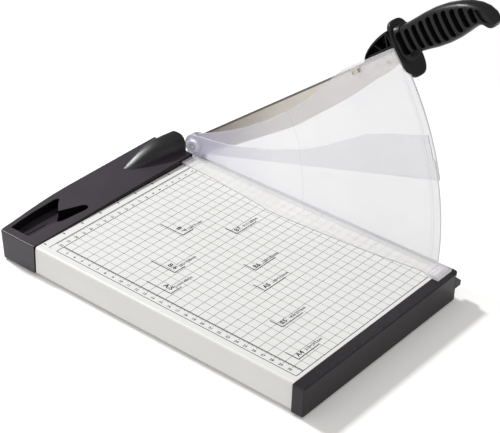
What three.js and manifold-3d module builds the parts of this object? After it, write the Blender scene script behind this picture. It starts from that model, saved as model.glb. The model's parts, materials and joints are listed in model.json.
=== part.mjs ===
// Desk guillotine paper cutter: a folded sheet table between two moulded end covers, a fixed counter
// blade along the far edge, a knife arm with a ribbed hand grip on a pivot bolt, two clear fan guards,
// a clear paper clamp and a slide latch. Millimetres, +Z up. The model is laid out from the corner where
// the guide wall meets the cutting edge on the table face (X along the cut, Y away from the user) and is
// then moved so that its origin is the centre of its footprint on the ground.
import * as THREE from "three";
import { mergeVertices } from "three/addons/utils/BufferGeometryUtils.js";
import Module from "manifold-3d";

const wasm = await Module();
wasm.setup();

// Overall sizes
const TABLE_LENGTH = 314.5;
const TABLE_DEPTH = 239.4;
const BASE_DEPTH = 30;
const SHEET = 1.2;
const BEND_RADIUS = 2.6;
const RETURN_LIP = 8;
const GAP = 0.3;
const OVERRUN = 2;

// Counter blade along the far edge
const STRIP_WIDTH = 9.5;
const STRIP_HEIGHT = 18;
const STRIP_RELIEF = 0.6;
const STRIP_TAIL = 16;
const STRIP_SCREW_DEPTH = 10;
const STRIP_SCREW_RADIUS = 2;
const STRIP_SCREW_HEAD = 3.8;
const STRIP_SCREW_COUNT = 4;

// Screws that hold the covers to the table's end flanges
const COVER_SCREW_Z = -20;
const NEAR_SCREW_INSET = 39.4;
const FAR_SCREW_INSET = 38.2;
const COVER_BOSS_RADIUS = 3.6;
const COVER_BOSS_LENGTH = 7;
const COVER_SCREW_RADIUS = 1.5;
const COVER_SCREW_HEAD = 3.2;
const COVER_SCREW_HEAD_HEIGHT = 2;
const COVER_SCREW_LENGTH = 6;

// End covers
const COVER_WALL = 2;
const PIVOT_COVER_WIDTH = 55;
const PIVOT_COVER_LEAN = 1.2;
const COVER_NEAR_PROUD = 1.6;
const COVER_END_Y = -10;
const COVER_TOP_NEAR = 0.9;
const COVER_TOP_FAR = 6.8;
const COVER_CORNER = 4;
const COVER_EDGE = 1.4;
const HANDLE_COVER_WIDTH = 12.5;
const HANDLE_COVER_CORNER = 5;

// Hump over the cover's far end
const HUMP_CENTRE_X = -21.6;
const HUMP_TIP_X = -32.4;
const HUMP_HALF_WIDTH = 12.4;
const HUMP_HEIGHT = 24.2;
const HUMP_NOSE_START = -24.8;
const HUMP_TIP_Y = -82.5;

// Storage recess in the pivot-end cover
const RECESS_DEPTH = 9;
const RECESS_LENGTH = 67;
const RECESS_WIDTH = 37;
const RECESS_NEAR_INSET = 10;
const RECESS_RIGHT_X = -8.6;
const TRAY_BAR_SHARE = 0.46;
const TRAY_BAR_LENGTH = 25;
const TRAY_BAR_WIDTH = 4.6;
const TRAY_BAR_PROUD = 0.7;

// Feet
const FOOT_RADIUS = 4.8;
const FOOT_HEIGHT = 2.5;
const FOOT_STEM_RADIUS = 2;
const FOOT_STEM_HEIGHT = 4;
const FOOT_INSET = 6.25;

// Pivot
const PIVOT_X = -2.5;
const PIVOT_Z = 12.8;
const BOLT_RADIUS = 4;
const BOLT_HEAD_RADIUS = 6.6;
const BOLT_HEAD_HEIGHT = 3;
const RUNNING = 0.2;
const BUSH_WALL = 2;
const BUSH_FIT = 0.05;
const WASHER_RADIUS = 8.5;
const THRUST_WASHER_THICK = 0.9;
const BRACKET_THICK = 3;
const BRACKET_EYE = 11;
const BRACKET_FOOT_WIDTH = 24;
const BRACKET_SCREW_RADIUS = 2;
const BRACKET_SCREW_HEAD = 3.6;
const BRACKET_SCREW_SPACING = 13;
const SPRING_WASHER_THICK = 1.4;
const SPRING_WASHER_RADIUS = 9;
const SPRING_WASHER_DISH = 1;
const NUT_FLATS_RADIUS = 7.5;
const NUT_HEIGHT = 5;
const BOLT_TAIL = 1.5;
const HUB_CAP_RADIUS = 8.4;
const HUB_CAP_WALL = 1.1;
const HUB_CAP_RIM = 12.2;
const HUB_CAP_RIM_THICK = 0.5;

// Guards
const GUARD_RADIUS = 308;
const GUARD_SHEET = 1.5;
const GUARD_HUB = 12.5;
const GUARD_DROP = 9.5;
const GUARD_STEP_DEG = 16.05;
const GUARD_RIM_WIDTH = 7.5;
const GUARD_RIM_PROUD = 0.5;
const GUARD_BEAD = 1.6;
const LOWER_GUARD_CUT = 2;
const UPPER_GUARD_CUT = 5.5;
const CUT_LENGTH = 24;
const GUARD_BLADE_GAP = 1;
const GUARD_WINDOW_SHARE = 0.8117;
const GUARD_WINDOW_LENGTH = 12;
const GUARD_WINDOW_HEIGHT = 7;
const GUARD_WINDOW_RISE = 2.7;
const CATCH_BAR = 2.4;

// Moving blade and its rest angle
const BLADE_RAISE_DEG = 37.75;
const BLADE_LENGTH = 299.2;
const BLADE_THICK = 2;
const BLADE_EYE = 12.4;
const BLADE_BACK_HUB = 7.6;
const BLADE_BACK_TIP = 5.6;
const BLADE_BELLY = 22.8;
const BLADE_BEVEL = 5;
const BLADE_EDGE_THICK = 0.35;

// Handle: finger guard disc, grip, cheek and gusset
const DISC_THICK = 4.5;
const DISC_HALF_WIDTH = 15.9;
const DISC_HALF_HEIGHT = 28.8;
const DISC_EDGE = 1.4;
const DISC_NEAR_FACE = 0.5;
const DISC_RISE = 1.5;
const COLLAR_LENGTH = 6;
const COLLAR_FLARE = 2.6;
const GRIP_LENGTH = 106;
const GRIP_HALF_THICK = 11;
const GRIP_SLOT_COUNT = 10;
const GRIP_SLOT_WIDTH = 5.8;
const GRIP_SLOT_PITCH = 9.3;
const GRIP_SLOT_START = 4.7;
const GRIP_SLOT_DEPTH = 7;
const GRIP_SLOT_TOP_INSET = 4.2;
const GRIP_SLOT_LOW_INSET = 3.4;
const CHEEK_LENGTH = 43;
const CHEEK_THICK = 4;
const CHEEK_HALF_HEIGHT = 8.5;
const GUSSET_LENGTH = 37;
const GUSSET_HEIGHT = 16;
const GUSSET_WALL = 2;
const GUSSET_WIDTH = 13.5;
const GUSSET_BASE = 7.8;
const HANDLE_SCREW_RADIUS = 2;
const HANDLE_SCREW_HEAD = 3.4;
const HANDLE_SCREW_LENGTH = 4.6;
const HANDLE_SCREW_INNER_SETBACK = 25;
const HANDLE_SCREW_OUTER_SETBACK = 11.5;
const HANDLE_SCREW_DROP = 3;

// Paper clamp
const CLAMP_LIFT = 1.4;
const CLAMP_THICK = 1.6;
const CLAMP_FAR_Y = -6.5;
const CLAMP_OVERHANG = 7.9;
const CLAMP_END_NEAR_Y = -29.4;
const CLAMP_BELLY = 39.6;
const CLAMP_START_NEAR_Y = -26.8;
const CLAMP_TONGUE_X = -9;
const CLAMP_TONGUE_FAR_Y = -12.4;
const CLAMP_END_BOX = 15;
const CLAMP_END_HEIGHT = 1.6;
const CLAMP_RIM = 1.6;
const CLAMP_RIB_COUNT = 5;
const CLAMP_RIB_WIDTH = 1.2;
const CLAMP_RIB_HEIGHT = 0.8;
const CLAMP_RIB_LENGTH = 8;
const CLAMP_PEG_RADIUS = 1.5;
const CLAMP_CLIP_RADIUS = 2.5;
const CLAMP_CLIP_THICK = 1;
const CLAMP_PEG_TAIL = 0.6;
const CLAMP_SPRING_RADIUS = 2.9;
const CLAMP_SPRING_WALL = 0.8;
const CLAMP_WELL_DEPTH = 9;
const CLAMP_PEG_Y = -19;
const CLAMP_PIVOT_PEG_X = -5;
const CLAMP_NOTCH_Y = -28;

// Blade latch in the handle-end cover
const LATCH_WIDTH = 10.2;
const LATCH_KEY_WIDTH = 4.5;
const LATCH_PROUD = 5.7;
const LATCH_KEY_DEPTH = 5.6;
const LATCH_LOW_Z = -18;
const LATCH_END_HEIGHT = 5.4;
const LATCH_SLOPE_SHARE = 0.84;
const LATCH_GROOVE = 1.2;
const LATCH_GROOVE_COUNT = 3;

const MERGE_DISTANCE = 1e-4;
const ROUND_SEGMENTS = 32;
const SMALL_SIDES = 16;
const SCREW_SIDES = 20;
const ROUND_SIDES = 24;
const LARGE_SIDES = 40;
const CORNER_STEPS = 6;
const SECTION_STEPS = 12;
const CURVE_STEPS = 20;
const BLADE_STEPS = 24;
const CHEEK_STEPS = 14;
const CLAMP_STEPS = 30;
const BEVEL_STEPS = 3;
const HUMP_RING_POINTS = 28;
const GRIP_RING_POINTS = 28;
const GRIP_SQUARENESS = 2.9;
const DISC_RING_POINTS = 64;
const DISC_SQUARENESS = 3;
const ALONG_X = new THREE.Matrix4().makeBasis(
  new THREE.Vector3(0, 1, 0), new THREE.Vector3(0, 0, 1), new THREE.Vector3(1, 0, 0));
const ALONG_MINUS_Y = new THREE.Matrix4().makeBasis(
  new THREE.Vector3(1, 0, 0), new THREE.Vector3(0, 0, 1), new THREE.Vector3(0, -1, 0));

// Materials
const finish = (color, roughness, metalness = 0, opacity = 1) => () =>
  new THREE.MeshStandardMaterial({ color, roughness, metalness, opacity, transparent: opacity < 1 });
const whitePaint = finish(0xe9e9e6, 0.45);
const coverPlastic = finish(0x3f3b40, 0.5);
const gripPlastic = finish(0x141313, 0.35);
const steel = finish(0xb9b2aa, 0.3, 1);
const zincSteel = finish(0xa9abae, 0.4, 1);
const brass = finish(0xb08d4a, 0.35, 1);
const rubber = finish(0x242424, 0.9);
const clearPlastic = finish(0xe6e6ee, 0.12, 0, 0.35);

// A closed geometry as a solid that can be joined and cut.
function solid(geometry) {
  const plain = geometry.clone();
  plain.deleteAttribute("normal");
  plain.deleteAttribute("uv");
  const merged = mergeVertices(plain, MERGE_DISTANCE);
  return new wasm.Manifold(new wasm.Mesh({
    numProp: 3,
    vertProperties: new Float32Array(merged.attributes.position.array),
    triVerts: new Uint32Array(merged.index.array),
  }));
}

// A solid back as a geometry for a mesh.
function geometryOf(made) {
  const mesh = made.getMesh();
  const geometry = new THREE.BufferGeometry();
  geometry.setAttribute("position", new THREE.BufferAttribute(new Float32Array(mesh.vertProperties), 3));
  geometry.setIndex(new THREE.BufferAttribute(new Uint32Array(mesh.triVerts), 1));
  const flat = geometry.toNonIndexed();
  flat.computeVertexNormals();
  return flat;
}

const joined = (first, ...rest) => rest.reduce((sum, next) => sum.add(next), first);
const cutFrom = (first, ...rest) => rest.reduce((sum, next) => sum.subtract(next), first);

// A box between two corners.
function block(x0, x1, y0, y1, z0, z1) {
  const box = new THREE.BoxGeometry(x1 - x0, y1 - y0, z1 - z0);
  box.translate((x0 + x1) / 2, (y0 + y1) / 2, (z0 + z1) / 2);
  return solid(box);
}

function extruded(shape, depth, curveSegments, bevel) {
  const options = { depth, curveSegments, bevelEnabled: false };
  if (bevel) {
    options.bevelEnabled = true;
    options.bevelThickness = bevel;
    options.bevelSize = bevel;
    options.bevelOffset = -bevel;
    options.bevelSegments = BEVEL_STEPS;
    options.depth = depth - 2 * bevel;
  }
  const geometry = new THREE.ExtrudeGeometry(shape, options);
  if (bevel) geometry.translate(0, 0, bevel);
  return geometry;
}

// A plan outline in X and Y, raised from one height to another.
const raised = (shape, z0, z1, curveSegments = SECTION_STEPS, bevel = 0) =>
  solid(extruded(shape, z1 - z0, curveSegments, bevel).translate(0, 0, z0));

// A section in Y and Z, run from one X to another.
const runAlongX = (shape, x0, x1, curveSegments = SECTION_STEPS, bevel = 0) =>
  solid(extruded(shape, x1 - x0, curveSegments, bevel).applyMatrix4(ALONG_X).translate(x0, 0, 0));

// A side outline in X and Z, run from one Y to another.
const runAlongY = (shape, y0, y1, curveSegments = SECTION_STEPS, bevel = 0) =>
  solid(extruded(shape, y1 - y0, curveSegments, bevel).applyMatrix4(ALONG_MINUS_Y).translate(0, y1, 0));

const outline = (points) => new THREE.Shape(points.map(([x, y]) => new THREE.Vector2(x, y)));

// An anticlockwise outline moved outwards by a distance, with mitred corners.
function widened(points, distance) {
  const normals = points.map(([x, y], i) => {
    const [nextX, nextY] = points[(i + 1) % points.length];
    return new THREE.Vector2(nextY - y, x - nextX).normalize();
  });
  return points.map(([x, y], i) => {
    const before = normals[(i + points.length - 1) % points.length];
    const reach = distance / (1 + before.dot(normals[i]));
    return [x + (before.x + normals[i].x) * reach, y + (before.y + normals[i].y) * reach];
  });
}

// A revolved profile of [radius, height] pairs that closes on itself or on the axis, turned about Z.
const revolved = (profile, segments = ROUND_SEGMENTS) =>
  new THREE.LatheGeometry(profile.map(([r, h]) => new THREE.Vector2(r, h)), segments)
    .rotateX(Math.PI / 2);

// The same about the Y axis, heights counted along +Y.
const revolvedY = (profile, segments = ROUND_SEGMENTS) =>
  solid(new THREE.LatheGeometry(profile.map(([r, h]) => new THREE.Vector2(r, h)), segments));

// An upright pin or hole from one height to another.
function upright(x, y, radius, z0, z1, segments = ROUND_SEGMENTS) {
  const pin = new THREE.CylinderGeometry(radius, radius, z1 - z0, segments);
  pin.rotateX(Math.PI / 2);
  return solid(pin.translate(x, y, (z0 + z1) / 2));
}

// A pin or hole along Y.
function crosswise(x, z, radius, y0, y1, segments = ROUND_SEGMENTS) {
  const pin = new THREE.CylinderGeometry(radius, radius, y1 - y0, segments);
  return solid(pin.translate(x, (y0 + y1) / 2, z));
}

// A pin or hole along X.
function lengthwise(y, z, radius, x0, x1, segments = ROUND_SEGMENTS) {
  const pin = new THREE.CylinderGeometry(radius, radius, x1 - x0, segments).rotateZ(Math.PI / 2);
  return solid(pin.translate((x0 + x1) / 2, y, z));
}

// A ring about the Y axis through the origin.
const ringY = (inner, outer, y0, y1, segments = ROUND_SEGMENTS) =>
  revolvedY([[inner, y0], [outer, y0], [outer, y1], [inner, y1], [inner, y0]], segments);

// A closed skin through rings of points of equal count, with flat ends.
function loft(rings) {
  const count = rings[0].length;
  const points = rings.flat();
  const faces = [];
  for (let i = 0; i + 1 < rings.length; i += 1) {
    for (let k = 0; k < count; k += 1) {
      const a = i * count + k;
      const b = i * count + ((k + 1) % count);
      faces.push(a, b, b + count, a, b + count, a + count);
    }
  }
  for (const [start, flip] of [[0, true], [(rings.length - 1) * count, false]]) {
    const centre = new THREE.Vector3();
    for (let k = 0; k < count; k += 1) centre.add(points[start + k]);
    points.push(centre.divideScalar(count));
    for (let k = 0; k < count; k += 1) {
      const a = start + k;
      const b = start + ((k + 1) % count);
      faces.push(points.length - 1, flip ? b : a, flip ? a : b);
    }
  }
  const geometry = new THREE.BufferGeometry().setFromPoints(points);
  geometry.setIndex(faces);
  const made = solid(geometry);
  if (made.volume() > 0) return made;
  geometry.setIndex(faces.reverse());
  return solid(geometry);
}

// A rounded box section: a superellipse ring between two opposite points, with a half width across.
function roundRing(low, high, halfWidth, across, squareness, count) {
  const centre = low.clone().add(high).divideScalar(2);
  const half = high.clone().sub(low).divideScalar(2);
  const ring = [];
  for (let k = 0; k < count; k += 1) {
    const turn = (2 * Math.PI * k) / count;
    const up = Math.sign(Math.sin(turn)) * Math.abs(Math.sin(turn)) ** (2 / squareness);
    const side = Math.sign(Math.cos(turn)) * Math.abs(Math.cos(turn)) ** (2 / squareness);
    ring.push(centre.clone().addScaledVector(half, up).addScaledVector(across, side * halfWidth));
  }
  return ring;
}

// A smooth curve through named points.
const throughPoints = (points, steps) =>
  new THREE.SplineCurve(points.map(([x, y]) => new THREE.Vector2(x, y))).getPoints(steps);

const cutter = new THREE.Group();
const base = new THREE.Group();
const arm = new THREE.Group();
const upperGuardTurn = new THREE.Group();
const lowerGuardTurn = new THREE.Group();
const clamp = new THREE.Group();
const latch = new THREE.Group();
cutter.add(base, arm, upperGuardTurn, lowerGuardTurn, clamp, latch);
for (const turning of [arm, upperGuardTurn, lowerGuardTurn]) turning.position.set(PIVOT_X, 0, PIVOT_Z);
arm.rotation.y = THREE.MathUtils.degToRad(-BLADE_RAISE_DEG);
upperGuardTurn.rotation.y = THREE.MathUtils.degToRad(-GUARD_STEP_DEG);

function place(group, name, made, material) {
  const mesh = new THREE.Mesh(geometryOf(made), material());
  mesh.name = name;
  group.add(mesh);
}

// Places that several pieces share
const stripFlangeY = -STRIP_WIDTH - GAP;
const coverNearY = -TABLE_DEPTH - COVER_NEAR_PROUD;
const coverScrewPlaces = [-TABLE_DEPTH + NEAR_SCREW_INSET, stripFlangeY - FAR_SCREW_INSET];
const recessNearY = coverNearY + RECESS_NEAR_INSET;
const discBack = BLADE_LENGTH + GAP;
const clampEndX = TABLE_LENGTH + CLAMP_OVERHANG;
const guardWindowRadius = GUARD_RADIUS * GUARD_WINDOW_SHARE;
const handleCoverMidX = TABLE_LENGTH + HANDLE_COVER_WIDTH / 2;
const handleCoverEndX = TABLE_LENGTH + HANDLE_COVER_WIDTH;
const lowerGuardFar = -GUARD_BLADE_GAP - 2 * GUARD_SHEET - GUARD_BLADE_GAP + GUARD_SHEET + RUNNING;
const upperGuardFar = -GUARD_BLADE_GAP + RUNNING;
const upperGuardNear = upperGuardFar - GUARD_SHEET;
const lowerGuardNear = lowerGuardFar - GUARD_SHEET;
const bladeNear = RUNNING;
const bladeFar = bladeNear + BLADE_THICK;
const bracketNear = bladeFar + RUNNING + THRUST_WASHER_THICK + RUNNING;
const bracketFar = bracketNear + BRACKET_THICK;
const springNear = bracketFar + RUNNING;
const springFar = springNear + SPRING_WASHER_THICK + SPRING_WASHER_DISH;
const nutNear = springFar + RUNNING;
const nutFar = nutNear + NUT_HEIGHT;
const shankNear = lowerGuardNear - RUNNING;
const clampTop = CLAMP_LIFT + CLAMP_THICK;
const clampPegs = [
  [CLAMP_PIVOT_PEG_X, CLAMP_PEG_Y],
  [handleCoverMidX - HANDLE_COVER_WIDTH / 10, CLAMP_PEG_Y],
];
const clampClipTop = -CLAMP_WELL_DEPTH - COVER_WALL - GAP;

// Table: one sheet folded down on all four sides, with a return lip below its near side.
function tableSection(inset, bottom) {
  const near = -TABLE_DEPTH + inset;
  const far = stripFlangeY - inset;
  const centre = BEND_RADIUS - TABLE_DEPTH;
  const shape = new THREE.Shape();
  shape.moveTo(far, bottom);
  shape.lineTo(far, -inset);
  shape.lineTo(centre, -inset);
  shape.absarc(centre, -BEND_RADIUS, BEND_RADIUS - inset, Math.PI / 2, Math.PI, false);
  if (inset) {
    shape.lineTo(near, -BASE_DEPTH + SHEET + inset);
    shape.lineTo(near + RETURN_LIP, -BASE_DEPTH + SHEET + inset);
    shape.lineTo(near + RETURN_LIP, bottom);
  } else {
    shape.lineTo(near, bottom);
  }
  return shape;
}

function makeTable() {
  const coverHoles = coverScrewPlaces.map((y) => lengthwise(
    y, COVER_SCREW_Z, COVER_SCREW_RADIUS + GAP, -OVERRUN, TABLE_LENGTH + OVERRUN, SMALL_SIDES));
  const stripHoles = stripScrewPlaces().map((x) => crosswise(
    x, -STRIP_SCREW_DEPTH, STRIP_SCREW_RADIUS + GAP,
    stripFlangeY - OVERRUN, stripFlangeY + OVERRUN, SMALL_SIDES));
  return cutFrom(
    runAlongX(tableSection(0, -BASE_DEPTH + SHEET), GAP, TABLE_LENGTH - GAP, CORNER_STEPS),
    runAlongX(tableSection(SHEET, -BASE_DEPTH - OVERRUN),
      GAP + SHEET, TABLE_LENGTH - GAP - SHEET, CORNER_STEPS),
    ...coverHoles, ...stripHoles);
}

function stripScrewPlaces() {
  const pitch = TABLE_LENGTH / STRIP_SCREW_COUNT;
  return Array.from({ length: STRIP_SCREW_COUNT }, (_, i) => pitch * (i + 1 / 2));
}

// Counter blade: a ground bar with a slight relief below its cutting edge.
function makeCounterBlade() {
  const section = outline([
    [-STRIP_WIDTH, 0], [0, 0], [-STRIP_RELIEF, -STRIP_HEIGHT], [-STRIP_WIDTH, -STRIP_HEIGHT],
  ]);
  const bar = runAlongX(section, -STRIP_TAIL, TABLE_LENGTH - GAP);
  const strip = stripScrewPlaces().map((x) => screwSeat(x, -STRIP_SCREW_DEPTH, 0,
    STRIP_SCREW_RADIUS, STRIP_SCREW_HEAD, STRIP_WIDTH));
  const bracket = bracketScrewPlaces().map((x) => crosswise(
    x, -STRIP_SCREW_DEPTH, BRACKET_SCREW_RADIUS + GAP, -STRIP_WIDTH - OVERRUN, OVERRUN, SMALL_SIDES));
  return cutFrom(bar, ...strip, ...bracket);
}

// A countersunk screw along Y: its head faces +Y and lies under the face by the gap.
function countersunk(x, z, faceY, radius, head, length) {
  const top = faceY - GAP - STRIP_RELIEF;
  return revolvedY([
    [0, top - length], [radius, top - length], [radius, top - head + radius], [head, top], [0, top],
  ], SCREW_SIDES).translate([x, 0, z]);
}

function screwSeat(x, z, faceY, radius, head, depth) {
  const top = faceY - STRIP_RELIEF;
  return revolvedY([
    [0, top - depth - OVERRUN], [radius + GAP, top - depth - OVERRUN], [radius + GAP, top - head + radius],
    [head + GAP, top], [head + GAP, top + OVERRUN], [0, top + OVERRUN],
  ], SCREW_SIDES).translate([x, 0, z]);
}

const bracketScrewPlaces = () =>
  [-1, 1].map((side) => PIVOT_X - GAP * 4 + (side * BRACKET_SCREW_SPACING) / 2);

// A cover boss along X that stands on the cover's inner wall, with a blind bore for its screw.
const coverBoss = (wallX, side, y) => {
  const root = wallX + (side * COVER_WALL) / 2;
  const tip = wallX + side * (COVER_WALL + COVER_BOSS_LENGTH);
  return lengthwise(
    y, COVER_SCREW_Z, COVER_BOSS_RADIUS, Math.min(root, tip), Math.max(root, tip), SCREW_SIDES);
};

const coverBore = (wallX, side, y) => {
  const open = wallX - side * OVERRUN;
  const end = wallX + side * COVER_SCREW_LENGTH;
  return lengthwise(y, COVER_SCREW_Z, COVER_SCREW_RADIUS + RUNNING,
    Math.min(open, end), Math.max(open, end), SMALL_SIDES);
};

// A pan-head screw from inside the table through its end flange into a cover boss on the given side.
function makeCoverScrew(wallX, side, y) {
  const head = GAP + SHEET + GAP;
  return solid(new THREE.LatheGeometry([
    [0, head + COVER_SCREW_HEAD_HEIGHT], [0, -COVER_SCREW_LENGTH + GAP],
    [COVER_SCREW_RADIUS, -COVER_SCREW_LENGTH + GAP], [COVER_SCREW_RADIUS, head],
    [COVER_SCREW_HEAD, head], [COVER_SCREW_HEAD, head + COVER_SCREW_HEAD_HEIGHT / 2],
    [COVER_SCREW_HEAD - COVER_SCREW_HEAD_HEIGHT / 2, head + COVER_SCREW_HEAD_HEIGHT],
    [0, head + COVER_SCREW_HEAD_HEIGHT],
  ].map(([r, h]) => new THREE.Vector2(r, h)), SMALL_SIDES).rotateZ((side * Math.PI) / 2))
    .translate([wallX, y, COVER_SCREW_Z]);
}

const footPlaces = () => {
  const nearY = coverNearY + FOOT_INSET + COVER_WALL;
  return [
    [-PIVOT_COVER_WIDTH * COVER_CORNER_SHARE + PIVOT_COVER_LEAN + FOOT_INSET + COVER_WALL, nearY],
    [-PIVOT_COVER_WIDTH + PIVOT_COVER_LEAN + FOOT_INSET + COVER_WALL, COVER_END_Y - FOOT_INSET],
    [handleCoverMidX, nearY],
    [handleCoverMidX, COVER_END_Y - FOOT_INSET],
  ];
};

// A corner tab in the open underside of a cover, with the hole that holds a foot's stem.
const footTab = (x, y, halfLength) => cutFrom(
  block(x - FOOT_INSET, x + FOOT_INSET, y - halfLength, y + halfLength,
    -BASE_DEPTH, -BASE_DEPTH + COVER_WALL),
  upright(x, y, FOOT_STEM_RADIUS + RUNNING,
    -BASE_DEPTH - OVERRUN, -BASE_DEPTH + COVER_WALL + OVERRUN, SMALL_SIDES));

function makeFoot(x, y) {
  const seat = -BASE_DEPTH - GAP / 3;
  const ground = -BASE_DEPTH - FOOT_HEIGHT;
  return solid(revolved([
    [0, ground], [FOOT_RADIUS - RUNNING * 2, ground], [FOOT_RADIUS, ground + RUNNING * 2],
    [FOOT_RADIUS, seat], [FOOT_STEM_RADIUS, seat], [FOOT_STEM_RADIUS, seat + FOOT_STEM_HEIGHT],
    [0, seat + FOOT_STEM_HEIGHT],
  ], ROUND_SIDES)).translate([x, y, 0]);
}

// The pivot-end cover's block: plan with rounded near corner, sloped top, outer wall leaning in below.
const coverTopAt = (y) => COVER_TOP_FAR
  + ((COVER_TOP_FAR - COVER_TOP_NEAR) * (y - COVER_END_Y)) / (COVER_END_Y - coverNearY);

// The outer side's distance from the guide wall, in shares of the width and of the cover's length.
const COVER_SIDE_SHARES = [
  [0.985, 1], [0.988, 0.75], [0.995, 0.55], [1, 0.43], [0.992, 0.34], [0.97, 0.264], [0.938, 0.182],
  [0.915, 0.134], [0.888, 0.078], [0.873, 0.035],
];
const COVER_CORNER_SHARE = 0.865;

function coverRing(inset, heightAt) {
  const near = coverNearY + inset;
  const far = COVER_END_Y - Math.min(inset, COVER_WALL);
  const right = -Math.min(inset, COVER_WALL);
  const corner = COVER_CORNER;
  const cornerX = corner - PIVOT_COVER_WIDTH * COVER_CORNER_SHARE + inset;
  const points = [[cornerX, near], [right, near], [right, far]];
  for (const [across, along] of COVER_SIDE_SHARES) {
    points.push([inset - PIVOT_COVER_WIDTH * across, near + (far - near) * along]);
  }
  for (let k = 0; k < CORNER_STEPS; k += 1) {
    const turn = Math.PI + ((Math.PI / 2) * k) / CORNER_STEPS;
    points.push([cornerX + corner * Math.cos(turn), near + corner + corner * Math.sin(turn)]);
  }
  return points.map(([x, y]) => new THREE.Vector3(x, y, heightAt(y)));
}

function coverBody(inset, floorZ) {
  const grown = inset ? COVER_WALL : 0;
  return loft([
    coverRing(grown + PIVOT_COVER_LEAN, () => floorZ),
    coverRing(grown, (y) => coverTopAt(y) - inset - COVER_EDGE),
    coverRing(grown + COVER_EDGE / 3, (y) => coverTopAt(y) - inset - COVER_EDGE / 3),
    coverRing(grown + COVER_EDGE, (y) => coverTopAt(y) - inset),
  ]);
}

// The hump: a flat arch along Y whose far end is flat and whose near end dives under the cover's top.
// Each station counts 0 at the flat end, 1 where the nose starts and 2 at its tip.
const HUMP_STATIONS = [0, 0.5, 1, 1.15, 1.3, 1.45, 1.6, 1.72, 1.82, 1.9, 1.96];
const HUMP_SHARES = { squareness: 2.9, rise: 1.4, width: 0.55 };

function humpBody(inset) {
  const across = new THREE.Vector3(1, 0, 0);
  const rings = HUMP_STATIONS.map((station) => {
    const straight = Math.min(station, 1);
    const past = Math.max(station - 1, 0);
    const nose = HUMP_NOSE_START - HUMP_TIP_Y - 2 * inset;
    const y = COVER_END_Y - inset + (HUMP_NOSE_START - COVER_END_Y) * straight - nose * past;
    const along = (y - COVER_END_Y) / (HUMP_TIP_Y - COVER_END_Y);
    const x = HUMP_CENTRE_X + (HUMP_TIP_X - HUMP_CENTRE_X) * along;
    const fade = 1 - past * past;
    const halfWidth = HUMP_HALF_WIDTH * fade ** HUMP_SHARES.width - inset;
    const rise = (HUMP_HEIGHT - coverTopAt(COVER_END_Y)) * fade ** HUMP_SHARES.rise - inset;
    const top = coverTopAt(y) + rise;
    const low = new THREE.Vector3(x, y, 2 * (coverTopAt(y) - COVER_WALL * 2) - top);
    return roundRing(low, new THREE.Vector3(x, y, top), Math.max(halfWidth, GAP), across,
      HUMP_SHARES.squareness, HUMP_RING_POINTS);
  });
  return loft(rings).intersect(
    block(-PIVOT_COVER_WIDTH, 0, HUMP_TIP_Y - OVERRUN, 0, -COVER_WALL, HUMP_HEIGHT * 2));
}

// Plan outlines of the storage recess: a long tray and a deeper side pocket, in shares of its size.
const TRAY_SHARES = [
  [0.1, 0], [0.02, 0.45], [0, 0.93], [0.03, 0.985], [0.09, 1], [0.22, 0.9], [0.48, 0.755],
  [0.83, 0.53], [0.94, 0],
];
const POCKET_SHARES = [
  [0.48, 0.755], [0.52, 0.79], [0.77, 1.11], [0.83, 1.14], [0.92, 1.14], [0.985, 1.1], [1, 1.03],
  [0.91, 0.59], [0.83, 0.53],
];

function recessPlan(shares, grow) {
  const points = shares.map(([across, along]) => [
    RECESS_RIGHT_X - RECESS_WIDTH + across * RECESS_WIDTH, recessNearY + along * RECESS_LENGTH,
  ]);
  return outline(widened(points.reverse(), grow));
}

function recessTray(grow) {
  const left = RECESS_RIGHT_X - RECESS_WIDTH;
  const top = coverTopAt(recessNearY);
  const wedge = outline([
    [left - OVERRUN * 2, top - RECESS_DEPTH - grow], [left + RECESS_WIDTH / 4, top - RECESS_DEPTH - grow],
    [RECESS_RIGHT_X - RECESS_WIDTH / 5, top - grow * 2], [RECESS_RIGHT_X + OVERRUN * 2, top - grow],
    [RECESS_RIGHT_X + OVERRUN * 2, top + COVER_TOP_FAR], [left - OVERRUN * 2, top + COVER_TOP_FAR],
  ]);
  const reach = RECESS_LENGTH + 2 * OVERRUN;
  return raised(recessPlan(TRAY_SHARES, grow), -BASE_DEPTH, BASE_DEPTH)
    .intersect(runAlongY(wedge, recessNearY - OVERRUN - grow, recessNearY + reach + grow));
}

// A low bar moulded on the tray's floor, with round ends.
function trayBar() {
  const half = TRAY_BAR_WIDTH / 2;
  const left = RECESS_RIGHT_X - RECESS_WIDTH * TRAY_BAR_SHARE;
  const start = recessNearY + TRAY_BAR_WIDTH;
  const shape = new THREE.Shape();
  shape.absarc(left, start + half, half, Math.PI, 2 * Math.PI, false);
  shape.absarc(left, start + TRAY_BAR_LENGTH - half, half, 0, Math.PI, false);
  return raised(shape, -BASE_DEPTH, BASE_DEPTH, CORNER_STEPS)
    .subtract(recessTray(0).translate([0, 0, TRAY_BAR_PROUD]));
}

const recessPocket = (grow) => raised(recessPlan(POCKET_SHARES, grow),
  coverTopAt(recessNearY) - RECESS_DEPTH - grow, COVER_TOP_FAR + OVERRUN);

function clampWell(x, y, topZ) {
  return upright(x, y, CLAMP_SPRING_RADIUS + GAP + COVER_WALL / 2,
    topZ - CLAMP_WELL_DEPTH - COVER_WALL, topZ, ROUND_SIDES);
}

function clampWellBore(x, y, topZ) {
  return joined(
    upright(x, y, CLAMP_SPRING_RADIUS + GAP,
      topZ - CLAMP_WELL_DEPTH, topZ + OVERRUN * 2, ROUND_SIDES),
    upright(x, y, CLAMP_PEG_RADIUS + RUNNING,
      topZ - CLAMP_WELL_DEPTH - COVER_WALL * 2, topZ, SMALL_SIDES));
}

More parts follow.
